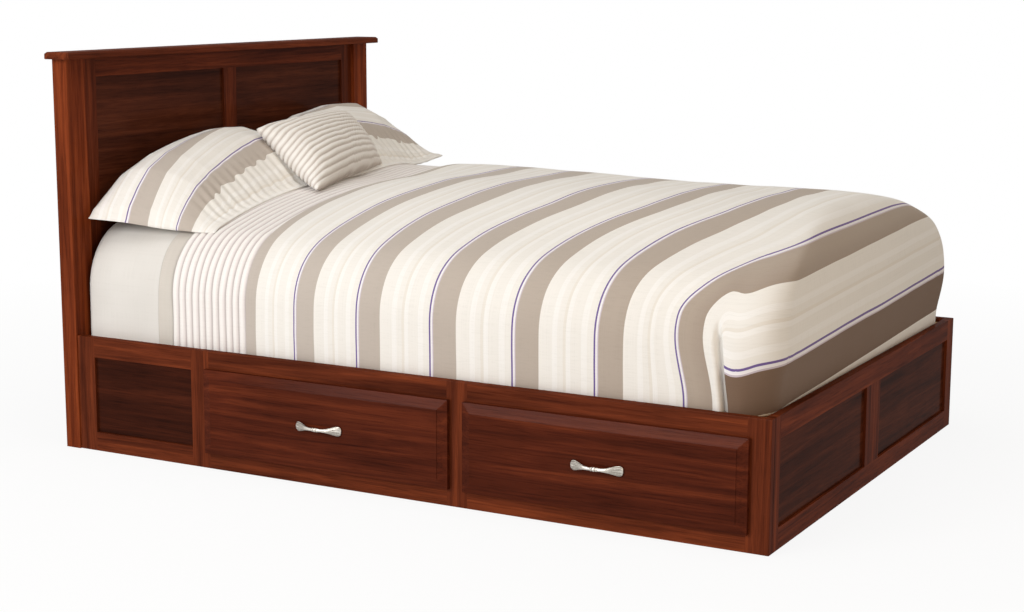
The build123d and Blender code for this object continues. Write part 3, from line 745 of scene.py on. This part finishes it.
def strip_over(name, xs, domes, drift):
    """A strip of cloth over the bed, with a dome for each of its rows; drift lets the rows wander."""
    rows = [
        across_line(x, dome, dome[0], no_ceiling, strip_walls, strip_top) for x, dome in zip(xs, domes)
    ]
    arcs = [np.concatenate([[0], np.cumsum(np.hypot(np.diff(y), np.diff(z)))]) for y, z in rows]

    def place(i, j):
        y, z = rows[i][0][j], rows[i][1][j]
        wander = drift * bumps(xs[i] * 30, arcs[i][j] * 7.0, 4.2)
        return Vector((xs[i] + wander, y, z)), (arcs[i][j], xs[i])

    return cloth_grid(name, len(xs) - 1, len(rows[0][0]) - 1, place)


sheet_rows, sheet_drift, sheet_thickness = 6, 0.004, 0.0010
sheet_x = np.concatenate([[-0.7125, -0.7120], np.linspace(-0.708, -0.6635, sheet_rows)])
sheet_lift = [0.0002, 0.0014] + [0.0018] * sheet_rows
sheet_domes = [grown(mattress_dome, lift) for lift in sheet_lift]
turned_sheet = strip_over("turned_sheet", sheet_x, sheet_domes, sheet_drift)
thicken(turned_sheet, sheet_thickness)
smooth_piece(turned_sheet, 0)
turned_sheet.data.materials.append(beige_cotton)
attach(turned_sheet, "bed_frame")

print("turned sheet faces:", len(turned_sheet.data.polygons))

# %% Ribbed coverlet
rib_pitch, rib_count, rib_height = 0.0215, 11, 0.0050
rib_share = np.linspace(0, 1, 9)[:-1]
coverlet_start, coverlet_end, tuck_rows = cad_corners("coverlet")[0][0], -0.345, 6
coverlet_lift, coverlet_drift, coverlet_thickness = 0.0042, 0.0022, 0.0024
ribs_end = coverlet_start + rib_count * rib_pitch
coverlet_x = [coverlet_start + (rib + share) * rib_pitch for rib in range(rib_count) for share in rib_share]
coverlet_swell = [rib_height * math.sin(math.pi * share) ** 0.7 for share in rib_share] * rib_count
coverlet_x += list(np.linspace(ribs_end, coverlet_end, tuck_rows))
coverlet_swell += [0.0] * tuck_rows
coverlet_domes = [grown(mattress_dome, coverlet_lift + swell) for swell in coverlet_swell]
coverlet = strip_over("ribbed_coverlet", coverlet_x, coverlet_domes, coverlet_drift)
thicken(coverlet, coverlet_thickness)
smooth_piece(coverlet, 0)


def rib_colour(tree, flat, place):
    """White cords, with painted shade that darkens the valleys between them to mauve-grey."""
    from_start = reckon(tree, "ADD", part_of(tree, flat, "Y"), -coverlet_start)
    share = reckon(tree, "FRACT", reckon(tree, "DIVIDE", from_start, rib_pitch))
    # Painted shade: the cords darken step by step to mauve-grey at the bottom of each valley.
    return ramp(tree, share, [
        (0.0, tone(178, 166, 164)), (0.06, tone(212, 204, 202)), (0.16, tone(240, 236, 233)),
        (0.55, tone(245, 242, 239)), (0.84, tone(232, 226, 225)), (0.95, tone(204, 194, 193)),
        (1.0, tone(178, 166, 164)),
    ])


coverlet.data.materials.append(cotton("corded_cotton", rib_colour, 0.08, 0.0003))
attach(coverlet, "bed_frame")
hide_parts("coverlet")
print("coverlet faces:", len(coverlet.data.polygons))

# %% [markdown]
# ## Striped comforter
# The comforter is laid over everything from the coverlet to the foot and tucked in on three sides. Its cross
# stripes repeat about every 200 mm: a thin violet line, a white line, a taupe band and a wide cream band.
# UV.y counts these repeats. At the foot the cloth turns down, and each corner is folded like a hospital
# corner: the side's stripes end at an upright fold, and the foot's come round the corner to meet it.

# %% Stripe places
stripe_count = [-2, -1, 0, 1, 2, 3, 4, 5, 6, 7]
wall_lines = [-0.640, -0.448, -0.274, -0.087, 0.125, 0.352, 0.569, 0.795, 1.010, 1.225]
top_shift = [-0.050, -0.048, 0.085, 0.078, 0.131, 0.158, 0.152, 0.187, 0.207, 0.220]
swing_y = [0.13, 0.27, 0.36, 0.45, 0.54, 0.60, 0.69]
swing_share = [1.0, 0.85, 0.60, 0.36, 0.20, 0.13, 0.0]
last_swing_y = [0.13, 0.40, 0.507, 0.60, 0.644, 0.69]
last_swing_share = [1.0, 0.92, 0.57, 0.22, 0.03, 0.0]
last_swing_from, far_swing, swing_rounding = 5, (0.45, 0.69), 0.03
foot_count, foot_lines = [4, 5, 6, 7], [0.720, 0.982, 1.217, 1.593]
foot_tilt, dip_depth, dip_middle, dip_width = 0.035, 0.018, 0.92, 0.04
fold_z, fold_x = [0.31, 0.46, 0.50], [0.898, 0.880, 0.868]
comforter_span = (comforter_low[0], comforter_high[0])
foot_radius, corner_radius = 0.130, 0.095
foot_start = comforter_span[1] - foot_radius
face_path = foot_start + foot_radius * math.pi / 2
face_top = comforter_dome[1] + end_headroom - foot_radius


def fold_line(z):
    """Where the upright fold of a foot corner lies along the bed at a height."""
    return read_off(z, fold_z, fold_x)


def swing(y, at, share):
    """How much of its swing towards the foot a line has made at y, with the table's corners rounded off."""
    if y > 0:
        return 1 - smooth_step(y, *far_swing)
    return sum(read_off(-y + step, at, share) for step in (-swing_rounding, 0.0, swing_rounding)) / 3


def top_repeat(path, y):
    """Stripe repeats before a place on the top and the sides, where the lines swing towards the foot."""
    early = swing(y, swing_y, swing_share)
    late = swing(y, last_swing_y, last_swing_share)
    lines = [
        wall + shift * (late if count >= last_swing_from else early)
        for count, wall, shift in zip(stripe_count, wall_lines, top_shift)
    ]
    return read_off(path, lines, stripe_count)


def foot_repeat(x, y, z):
    """Stripe repeats on the cloth that hangs over the foot and comes round its corners."""
    level = z - foot_tilt * y + dip_depth * bell(x - dip_middle, dip_width)
    return read_off(face_path + face_top - level, foot_lines, foot_count)


def soft_least(first, second, soft=0.05):
    """The smaller of two values, with a soft turn where they meet."""
    return -soft * math.log(math.exp(-first / soft) + math.exp(-second / soft))


print("stripe lines:", len(stripe_count))

# %% Lay the comforter
fold_zone, flat_rows, fold_rows, turn_rows = (0.856, 0.916), 70, 24, 22
turn_from = math.asin((fold_zone[1] - foot_start) / foot_radius)
comforter_x = np.concatenate([
    comforter_span[0] + np.array([0.0, 0.004, 0.010, 0.018]),
    np.linspace(comforter_span[0] + 0.030, fold_zone[0], flat_rows)[:-1],
    np.linspace(*fold_zone, fold_rows)[:-1],
    foot_start + foot_radius * np.sin(np.linspace(turn_from, math.pi / 2, turn_rows)),
])
comforter_wall, comforter_top, row_gap = 8, 76, 0.021
fold_lean, lean_x, lean_z = 0.030, (0.66, 0.80), (0.32, 0.50, 0.52, 0.60)
fold_soft, fold_blur, blur_z, tuck_z = 0.004, 0.07, (0.46, 0.54), (0.47, 0.56)
foot_edge = (1.00, 1.06)
hem_dome, hem_rise_end = grown(mattress_dome, 0.0215), -0.22
comforter_rows = []
for x in comforter_x:
    half_now, ceiling = loaf_ends(
        x, comforter_span, foot_radius, corner_radius, *comforter_dome[:2], round_head=False
    )
    comforter_rows.append(across_line(x, comforter_dome, half_now, ceiling, comforter_wall, comforter_top))


def comforter_point(i, j):
    """A point of the comforter's top and sides."""
    x = comforter_x[i]
    line_y, line_z = comforter_rows[i]
    y, z = line_y[j], line_z[j]
    turned = min(max((x - foot_start) / foot_radius, 0.0), 1.0)
    path = min(x, foot_start) + foot_radius * math.asin(turned)
    fold = fold_line(z)
    soft = fold_soft + fold_blur * smooth_step(z, *blur_z)
    tucked = smooth_step(x, fold, fold + soft) * (1 - smooth_step(z, *tuck_z))
    hung = max(tucked, smooth_step(path, *foot_edge))
    at_foot = foot_repeat(x, y, z)
    lean = fold_lean * smooth_step(x, *lean_x) * hump(z, *lean_z)
    repeat = (1 - hung) * soft_least(top_repeat(path + lean, y), at_foot) + hung * at_foot
    settled = float(dome_height(np.array([y]), hem_dome)[0]) + far_swell(x, y)
    z -= max(z - settled, 0.0) * (1 - smooth_step(x, comforter_span[0], hem_rise_end))
    return Vector((x, y, z)), (j * row_gap, repeat)


def comforter_foot_point(i, j):
    """A point of the comforter's foot face."""
    line_y, line_z = comforter_rows[-1]
    y, z = line_y[comforter_wall + j], line_z[comforter_wall + j]
    z += (deck_top - z) * i / comforter_wall
    x = comforter_span[1]
    return Vector((x, y, z)), ((comforter_wall + j) * row_gap, foot_repeat(x, y, z))


comforter_across = 2 * comforter_wall + comforter_top
over_bed = cloth_grid("comforter_over", len(comforter_x) - 1, comforter_across, comforter_point)
over_foot = cloth_grid("comforter_foot", comforter_wall, comforter_top, comforter_foot_point)
comforter = sew([over_bed, over_foot], "striped_comforter")
print("comforter points:", len(comforter.data.vertices))

# %% [markdown]
# Now the laid cloth is worked: the head hem rolls down onto the coverlet, the two corner folds are
# pressed in with a full lip of cloth beside each, and slow noise gives the filling its gentle hills.

# %% Hem, folds and filling
hem_drop, hem_width = 0.003, 0.016
side_zone, fold_end, gather_end = (0.62, 0.68), (0.46, 0.505), (0.44, 0.52)
fold_depth, fold_width = 0.038, 0.0042
lobe_height, lobe_place, lobe_width = 0.006, 0.016, 0.010
lip_height, lip_place, lip_width = 0.005, 0.034, 0.026
gather_height, gather_width = 0.0022, 0.07
bulge_height, bulge_x, bulge_z = 0.016, (0.90, 0.99), (0.33, 0.46, 0.52, 0.66)
tuck_top, tuck_fade = 0.40, 0.08
hill_height, small_hill_height, pucker_height = 0.0042, 0.0022, 0.0018
comforter_thickness, comforter_shrink = 0.0105, 0.0005


def comforter_work(co):
    """How far a point of the comforter moves out along its normal."""
    hem = -hem_drop * (1 - smooth_step(co.x, comforter_span[0], comforter_span[0] + hem_width))
    on_side = smooth_step(abs(co.y), *side_zone)
    upright = 1 - smooth_step(co.z, *fold_end)
    beside = co.x - fold_line(co.z)
    pressed = -fold_depth * bell(beside, fold_width) * upright
    lobe = lobe_height * bell(beside + lobe_place, lobe_width)
    lip = lip_height * bell(beside - lip_place, lip_width)
    fold = on_side * (pressed + (lobe + lip) * upright)
    gather = gather_height * bumps(co.x * 34, co.y * 30, co.z * 9) * on_side
    gather *= bell(beside, gather_width) * (1 - smooth_step(co.z, *gather_end))
    bulge = bulge_height * smooth_step(co.x, *bulge_x) * hump(co.z, *bulge_z)
    inside = 1 - smooth_step(tuck_top - co.z, 0.0, tuck_fade)
    hills = hill_height * wave(co, 0.34, 1.7) + small_hill_height * wave(co, 0.13, 5.2)
    puckers = pucker_height * bumps(co.x * 13, co.y * 3, co.z * 2.5) * on_side
    return hem + fold + gather + bulge + (hills + puckers) * inside - comforter_shrink


push(comforter, comforter_work)
thicken(comforter, comforter_thickness)
smooth_piece(comforter, 1)


print("comforter triangles:", 2 * len(comforter.data.polygons))

# %% Stripes of the comforter
above_zero, full_shade_repeat = 10.0, 6.0


def stripe_colour(tree, flat, place):
    """Violet line, white line, taupe band and cream band, with faint tonal lines in the cream; the taupe band
    carries painted shade that darkens it towards the foot.
    """
    repeat = part_of(tree, flat, "Y")
    share = reckon(tree, "FRACT", reckon(tree, "ADD", repeat, above_zero))
    cream, pale, warm = tone(239, 236, 231), tone(244, 242, 239), tone(234, 229, 221)
    woven = ramp(tree, share, [
        (0.0, tone(112, 92, 152)), (0.018, tone(240, 237, 240)), (0.042, tone(202, 190, 200)),
        (0.052, tone(190, 178, 168)), (0.20, tone(184, 172, 161)), (0.335, cream), (0.50, pale),
        (0.56, cream), (0.63, warm), (0.665, pale), (0.72, cream), (0.85, pale), (0.92, cream),
    ], "CONSTANT")
    outside, inside = (0, 0, 0, 1), (1, 1, 1, 1)
    in_band = ramp(tree, share, [(0.0, outside), (0.052, inside), (0.335, outside)], "CONSTANT")
    # Painted shade: the taupe band is painted darker, repeat by repeat, towards the foot, which stands in
    # shade.
    along = add(tree, "ShaderNodeMapRange", {"Value": repeat, "From Max": full_shade_repeat})
    painted_shade_taupe = ramp(tree, along.outputs["Result"], [
        (0.10, tone(193, 183, 174)), (0.55, tone(184, 172, 161)),
        (0.86, tone(176, 162, 149)), (1.0, tone(118, 96, 80)),
    ])
    return mix(tree, in_band, woven, painted_shade_taupe)


striped_cotton = cotton("striped_cotton", stripe_colour, 0.10, 0.00022)
comforter.data.materials.append(striped_cotton)
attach(comforter, "bed_frame")
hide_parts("comforter")
print("finish:", striped_cotton.name)

# %% [markdown]
# ## Shams
# Two flanged shams lie on the sheet and lean on the headboard. Each is a top and a bottom grid sewn round the
# rim. The crest rises from the flat flange at the outer end. The front is gathered: short upright puckers run
# back from the front seam, and the taupe stripe's edge is drawn jagged to go with them. A short cloth
# simulation with a little air pressure lets the cloth find its own tension. No point may move far in it.

# %% Plump a sewn piece
def plump(piece, pressure, cap, frames=20):
    """Blow a sewn piece up with a cloth simulation; no point moves further than the cap."""
    pick(piece)
    laid = [point.co.copy() for point in piece.data.vertices]
    bpy.ops.object.modifier_add(type="CLOTH")
    cloth = piece.modifiers[-1]
    cloth.settings.use_pressure = True
    cloth.settings.uniform_pressure_force = pressure
    cloth.settings.effector_weights.gravity = 0.0
    cloth.collision_settings.use_collision = False
    cloth.point_cache.frame_start = 1
    cloth.point_cache.frame_end = frames
    scene = bpy.context.scene
    for frame_number in range(1, frames + 1):
        scene.frame_set(frame_number)
    blown = piece.evaluated_get(bpy.context.evaluated_depsgraph_get()).data
    moves = [after.co - before for after, before in zip(blown.vertices, laid)]
    bpy.ops.object.modifier_remove(modifier=cloth.name)
    scene.frame_set(1)
    for point, before, move in zip(piece.data.vertices, laid, moves):
        point.co = before + move * min(1.0, cap / max(move.length, 1e-9))
    print(piece.name, "largest move", round(max(move.length for move in moves), 4))


print("cloth simulation", "in use")

# %% Form of one sham
sham_back, sham_front = -0.958, -0.590
sham_inner, sham_outer_front, sham_outer_back = 0.024, 0.592, 0.670
crest_in = [0.0, 0.010, 0.023, 0.063, 0.115, 0.198, 0.289, 0.368, 0.449, 0.530, 0.580, 0.610, 0.630]
crest_z = [0.600, 0.622, 0.648, 0.695, 0.742, 0.781, 0.804, 0.820, 0.830, 0.826, 0.800, 0.762, 0.722]
far_crest_in = [0.0, 0.020, 0.060, 0.100, 0.170, 0.300, 0.450, 0.550, 0.580, 0.610, 0.630]
far_crest_z = [0.705, 0.750, 0.802, 0.832, 0.858, 0.866, 0.842, 0.806, 0.785, 0.755, 0.725]
rise_q = [0.0, 0.06, 0.10, 0.20, 0.33, 0.50, 0.70, 0.86, 0.95, 1.0]
rise_z = [0.0, 0.015, 0.06, 0.30, 0.60, 0.86, 1.0, 0.95, 0.82, 0.66]
sham_along, sham_across = 72, 110
pucker_length, sham_pucker_height, sham_hill_height = 0.018, 0.0034, 0.005
sham_pressure, sham_cap = 4.0, 0.006
sham_gap, front_bow, rim_lift, cloth_lift = 0.006, 0.006, 0.002, 0.004
near_flat, far_flat, near_flange_lift, far_flange_lift = 0.60, 0.42, 0.029, 0.022
flange_zone, pucker_zone, pucker_end = (0.45, 0.65), (0.02, 0.09, 0.20, 0.42), (0.50, 0.59)
under_share = 0.20
stripe_outer, jag_depth = 0.616, 0.018


def sham_repeat(q, y, sign):
    """Stripe repeats on a sham: its lines draw back towards the headboard near the middle of the bed."""
    inwards = stripe_outer - y
    uneven = 1.3 * bumps(y * 17, 4.0, sign)
    depth = 0.7 + bumps(y * 31, 9.0, sign)
    jag = math.sin(math.pi * (y / (1.6 * pucker_length) + uneven)) * depth
    taupe_end = 0.185 + 0.28 * inwards + jag_depth * jag * smooth_step(inwards, 0.02, 0.16)
    lines = [1.14, 0.715 + 0.10 * inwards, 0.535 + 0.42 * inwards, 0.308 + 0.35 * inwards, taupe_end, 0.0]
    return read_off(-q, [-line for line in lines], [-1.0, 0.0, 0.335, 1.0, 1.335, 1.93])


def sham_place(sign, upper):
    """Place points of a sham's top or bottom; sign is -1 on the left and 1 on the right."""
    def place(i, j):
        q = 1 - i / sham_along
        p = j / sham_across
        reach = p if sign > 0 else 1 - p
        outer = sham_outer_front + (sham_outer_back - sham_outer_front) * q
        y = sham_inner + reach * (outer - sham_inner)
        x = sham_front + (sham_back - sham_front) * q - front_bow * math.sin(math.pi * reach) * (1 - q)
        flat_from = near_flat if sign < 0 else far_flat
        full_side = far_swell(x, sign * min(y, flat_from))
        rest = float(dome_height(np.array([min(y, flat_from)]), mattress_dome)[0]) + sham_gap
        flange_lift = near_flange_lift * q if sign < 0 else far_flange_lift
        rest += flange_lift * smooth_step(y, *flange_zone) + full_side
        crest_line = (crest_in, crest_z) if sign < 0 else (far_crest_in, far_crest_z)
        lift = max(read_off(outer - y, *crest_line) - rest, 0.0)
        rise = read_off(q, rise_q, rise_z)
        at_rim = i in (0, sham_along) or j in (0, sham_across)
        z = rest + lift * rise + (rim_lift if at_rim else cloth_lift)
        if not upper and not at_rim:
            z = rest + lift * rise * (under_share + (1 - under_share) * smooth_step(q, 0.75, 1.0))
        return Vector((x, sign * y, z)), (y, sham_repeat(q, y, sign))

    return place


def sham_work(sign):
    """Puckers from the front seam and soft hills of the filling."""
    def amount(co):
        q = (co.x - sham_front) / (sham_back - sham_front)
        gather = hump(q, *pucker_zone) * (1 - smooth_step(abs(co.y), *pucker_end))
        uneven = 3.0 * bumps(co.y * 9, q * 2, sign)
        pucker = math.sin(math.pi * abs(co.y) / (0.8 * pucker_length) + uneven)
        pucker *= 0.6 + 0.6 * bumps(co.y * 26, q * 3.0, 7.0 * sign)
        hills = sham_hill_height * wave(co, 0.16, 2.3 + sign) * smooth_step(q, 0.10, 0.35)
        return sham_pucker_height * gather * pucker + hills

    return amount


print("sham grid:", sham_along, "by", sham_across)

# %% Sew the shams
for side, sign in (("left", -1), ("right", 1)):
    top = cloth_grid(f"{side}_sham_top", sham_along, sham_across, sham_place(sign, True))
    under = cloth_grid(f"{side}_sham_under", sham_along, sham_across, sham_place(sign, False))
    on_all_points(bpy.ops.mesh.flip_normals)
    sham = sew([top, under], f"{side}_striped_sham")
    plump(sham, sham_pressure, sham_cap)
    push(sham, sham_work(sign))
    smooth_piece(sham, 1)
    sham.data.materials.append(striped_cotton)
    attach(sham, "bed_frame")
    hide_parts(f"{side}_sham")
print("shams: 2, faces each:", len(sham.data.polygons))

# %% [markdown]
# ## Ribbed cushion
# An oblong cushion of a cloth like the coverlet's leans on the shams, a little turned. It is a front and a
# back grid sewn at the rim, spread between four corners, drawn in between them and crowned in the middle. The
# ribs run along it: smooth at its near end, and crinkled at the far end where the cloth is slack.

# %% Form of the cushion
cushion_bl, cushion_br = Vector((-0.500, -0.240, 0.682)), Vector((-0.622, 0.272, 0.702))
cushion_tl, cushion_tr = Vector((-0.760, -0.175, 0.836)), Vector((-0.832, 0.372, 0.848))
cushion_across = (cushion_br - cushion_bl + cushion_tr - cushion_tl).normalized()
cushion_up = (cushion_tl - cushion_bl + cushion_tr - cushion_br).normalized()
cushion_out = cushion_across.cross(cushion_up).normalized()
cushion_ribs = 15
cushion_rows, cushion_columns = 120, 120
cushion_length, crinkle_length, crinkle_depth, rib_wander = 0.52, 0.020, 0.11, 0.22
end_draw, edge_draw, front_full, back_full, rib_relief = 0.016, 0.012, 0.070, 0.050, 0.0060
cushion_pressure, cushion_cap, rim_gap = 4.0, 0.005, 0.003


def cushion_place(face):
    """Place points of the cushion's front (face 1) or back (face -1)."""
    def place(i, j):
        p = 1 - 2 * i / cushion_rows
        q = 2 * j / cushion_columns - 1
        low = cushion_bl.lerp(cushion_br, (q + 1) / 2)
        high = cushion_tl.lerp(cushion_tr, (q + 1) / 2)
        base = low.lerp(high, (p + 1) / 2)
        base -= cushion_across * q * end_draw * (1 - p * p) + cushion_up * p * edge_draw * (1 - q * q)
        full = max((1 - abs(p) ** 2.4) * (1 - abs(q) ** 2.8), 0) ** 0.6
        slack = smooth_step(q - 0.3 * p, -0.1, 0.5)
        wander = rib_wander * bumps(q * 4.5, p * 2.0, 2.0)
        phase = math.pi * q * cushion_length / crinkle_length + 2.0 * bumps(q * 9, p * 5, 5.0)
        turns = (p + 1) / 2 * cushion_ribs + wander + crinkle_depth * slack * math.sin(phase)
        rib = abs(math.sin(math.pi * turns)) ** 0.6
        rim = smooth_step(1 - max(abs(p), abs(q)), 0.0, 0.08)
        swell = rim_gap + (front_full if face > 0 else back_full) * full + rib_relief * (rib - 0.6) * rim
        out = face * (0.0 if i in (0, cushion_rows) or j in (0, cushion_columns) else swell)
        return base + cushion_out * out, (q * cushion_length / 2, turns)

    return place


print("cushion ribs:", cushion_ribs)

# %% Sew the cushion
front = cloth_grid("cushion_front", cushion_rows, cushion_columns, cushion_place(1))
back = cloth_grid("cushion_back", cushion_rows, cushion_columns, cushion_place(-1))
on_all_points(bpy.ops.mesh.flip_normals)
cushion = sew([front, back], "ribbed_cushion")
plump(cushion, cushion_pressure, cushion_cap)
smooth_piece(cushion, 0)


def cushion_colour(tree, flat, place):
    """Cream on the ribs, and painted shade that turns the valleys between them mauve-grey."""
    share = reckon(tree, "FRACT", reckon(tree, "ADD", part_of(tree, flat, "Y"), above_zero))
    # Painted shade: the ramp darkens to mauve-grey in the valleys between the ribs.
    return ramp(tree, share, [
        (0.0, tone(194, 184, 177)), (0.14, tone(224, 217, 210)), (0.42, tone(246, 243, 239)),
        (0.74, tone(242, 238, 233)), (0.91, tone(216, 207, 200)), (1.0, tone(194, 184, 177)),
    ])


cushion.data.materials.append(cotton("drawn_cotton", cushion_colour, 0.08, 0.0003))
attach(cushion, "bed_frame")
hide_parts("cushion")
print("cushion faces:", len(cushion.data.polygons))

# %% [markdown]
# ## Sheet areas
# The areas of the sheets are measured on the meshes and printed: a closed cloth shows its area twice, once
# on each face.

# %% Sheets
def area_of(piece, layers):
    """Cloth area of a mesh in square metres."""
    return sum(face.area for face in piece.data.polygons) / layers


print("turned sheet area", round(area_of(turned_sheet, 2), 4))
print("coverlet area", round(area_of(coverlet, 2), 4))

# %% [markdown]
# ## Floor, light and camera
# The photo has a white ground and one broad soft light from the near left, so the side faces glow and the
# foot falls into shade. The floor is pale and keeps the bed's shadow. To the camera and in mirrors most of it
# is plain white, as is the world. The camera stands where a fit to the frame's corners puts it.

# %% Floor and world
def seen_directly(tree):
    """1 for rays that see the ground, also in a mirror or through glass; 0 for the light that it gives."""
    rays = add(tree, "ShaderNodeLightPath").outputs
    seen = reckon(tree, "MAXIMUM", rays["Is Camera Ray"], rays["Is Glossy Ray"])
    return reckon(tree, "MAXIMUM", seen, rays["Is Transmission Ray"])


floor_size, floor_gap = 40.0, 0.0005
shadow_end, white_from, white_near = 1.3, 3.4, 0.89
room_light, room_tone = 0.40, (1.0, 0.93, 0.84, 1)
plain_white = (1, 1, 1, 1)
bpy.ops.mesh.primitive_plane_add(size=floor_size, location=(0, 0, -floor_gap))
floor = bpy.context.active_object
floor.name = "studio_floor"
pale, tree, shader = new_finish("pale_floor")
set_inputs(tree, shader, {"Base Color": (0.86, 0.86, 0.86, 1), "Roughness": 0.9})
floor_place = add(tree, "ShaderNodeTexCoord").outputs["Object"]
away = add(tree, "ShaderNodeVectorMath", {0: floor_place}, operation="LENGTH")
fade = add(tree, "ShaderNodeMapRange", {
    "Value": away.outputs["Value"], "From Min": shadow_end, "From Max": white_from, "To Min": white_near,
})
part = reckon(tree, "MULTIPLY", seen_directly(tree), fade.outputs["Result"])
white = add(tree, "ShaderNodeEmission", {"Color": plain_white, "Strength": 1.0})
both = add(tree, "ShaderNodeMixShader", {0: part, 1: shader.outputs[0], 2: white.outputs[0]})
set_inputs(tree, tree.nodes["Material Output"], {"Surface": both.outputs[0]})
floor.data.materials.append(pale)

world = bpy.data.worlds.new("studio")
bpy.context.scene.world = world
world.use_nodes = True
tree = world.node_tree
seen = seen_directly(tree)
set_inputs(tree, tree.nodes["Background"], {
    "Color": mix(tree, seen, room_tone, plain_white), "Strength": between(tree, seen, room_light, 1.0),
})
print("floor and world are white to the camera")

# %% Lamps and camera
def soft_lamp(name, place, aim, size, watts, colour):
    """A rectangular soft box that faces a point."""
    bpy.ops.object.light_add(type="AREA", location=place)
    lamp = bpy.context.active_object
    lamp.name = name
    lamp.data.shape = "RECTANGLE"
    lamp.data.size, lamp.data.size_y = size
    lamp.data.energy = watts
    lamp.data.color = colour
    lamp.rotation_euler = (Vector(aim) - Vector(place)).to_track_quat("-Z", "Y").to_euler()


soft_lamp("near_soft_box", (-1.5, -5.2, 2.4), (0.0, -0.4, 0.45), (3.6, 2.4), 170, (0.985, 0.99, 1.0))
soft_lamp("over_soft_box", (0.2, -0.8, 4.2), (0.0, 0.0, 0.5), (3.0, 2.4), 48, (1.0, 0.98, 0.95))
soft_lamp("foot_fill", (4.6, -2.6, 1.7), (0.9, 0.0, 0.45), (2.4, 1.8), 30, (1.0, 0.66, 0.34))

camera_place, camera_lens = (2.4478, -4.5081, 1.2719), 66.068
camera_dip, camera_turn, camera_roll = math.radians(10.014), math.radians(28.737), math.radians(0.142)
bpy.ops.object.camera_add(location=camera_place)
camera = bpy.context.active_object
camera.name = "photo_camera"
look = Euler((math.pi / 2 - camera_dip, 0, camera_turn)).to_matrix()
camera.rotation_euler = (look @ Matrix.Rotation(camera_roll, 3, "Z")).to_euler()
camera.data.sensor_fit = "HORIZONTAL"
camera.data.sensor_width = 36.0
camera.data.lens = camera_lens
bpy.context.scene.camera = camera
bpy.context.scene.view_settings.view_transform = "Standard"
print("camera lens", camera.data.lens)
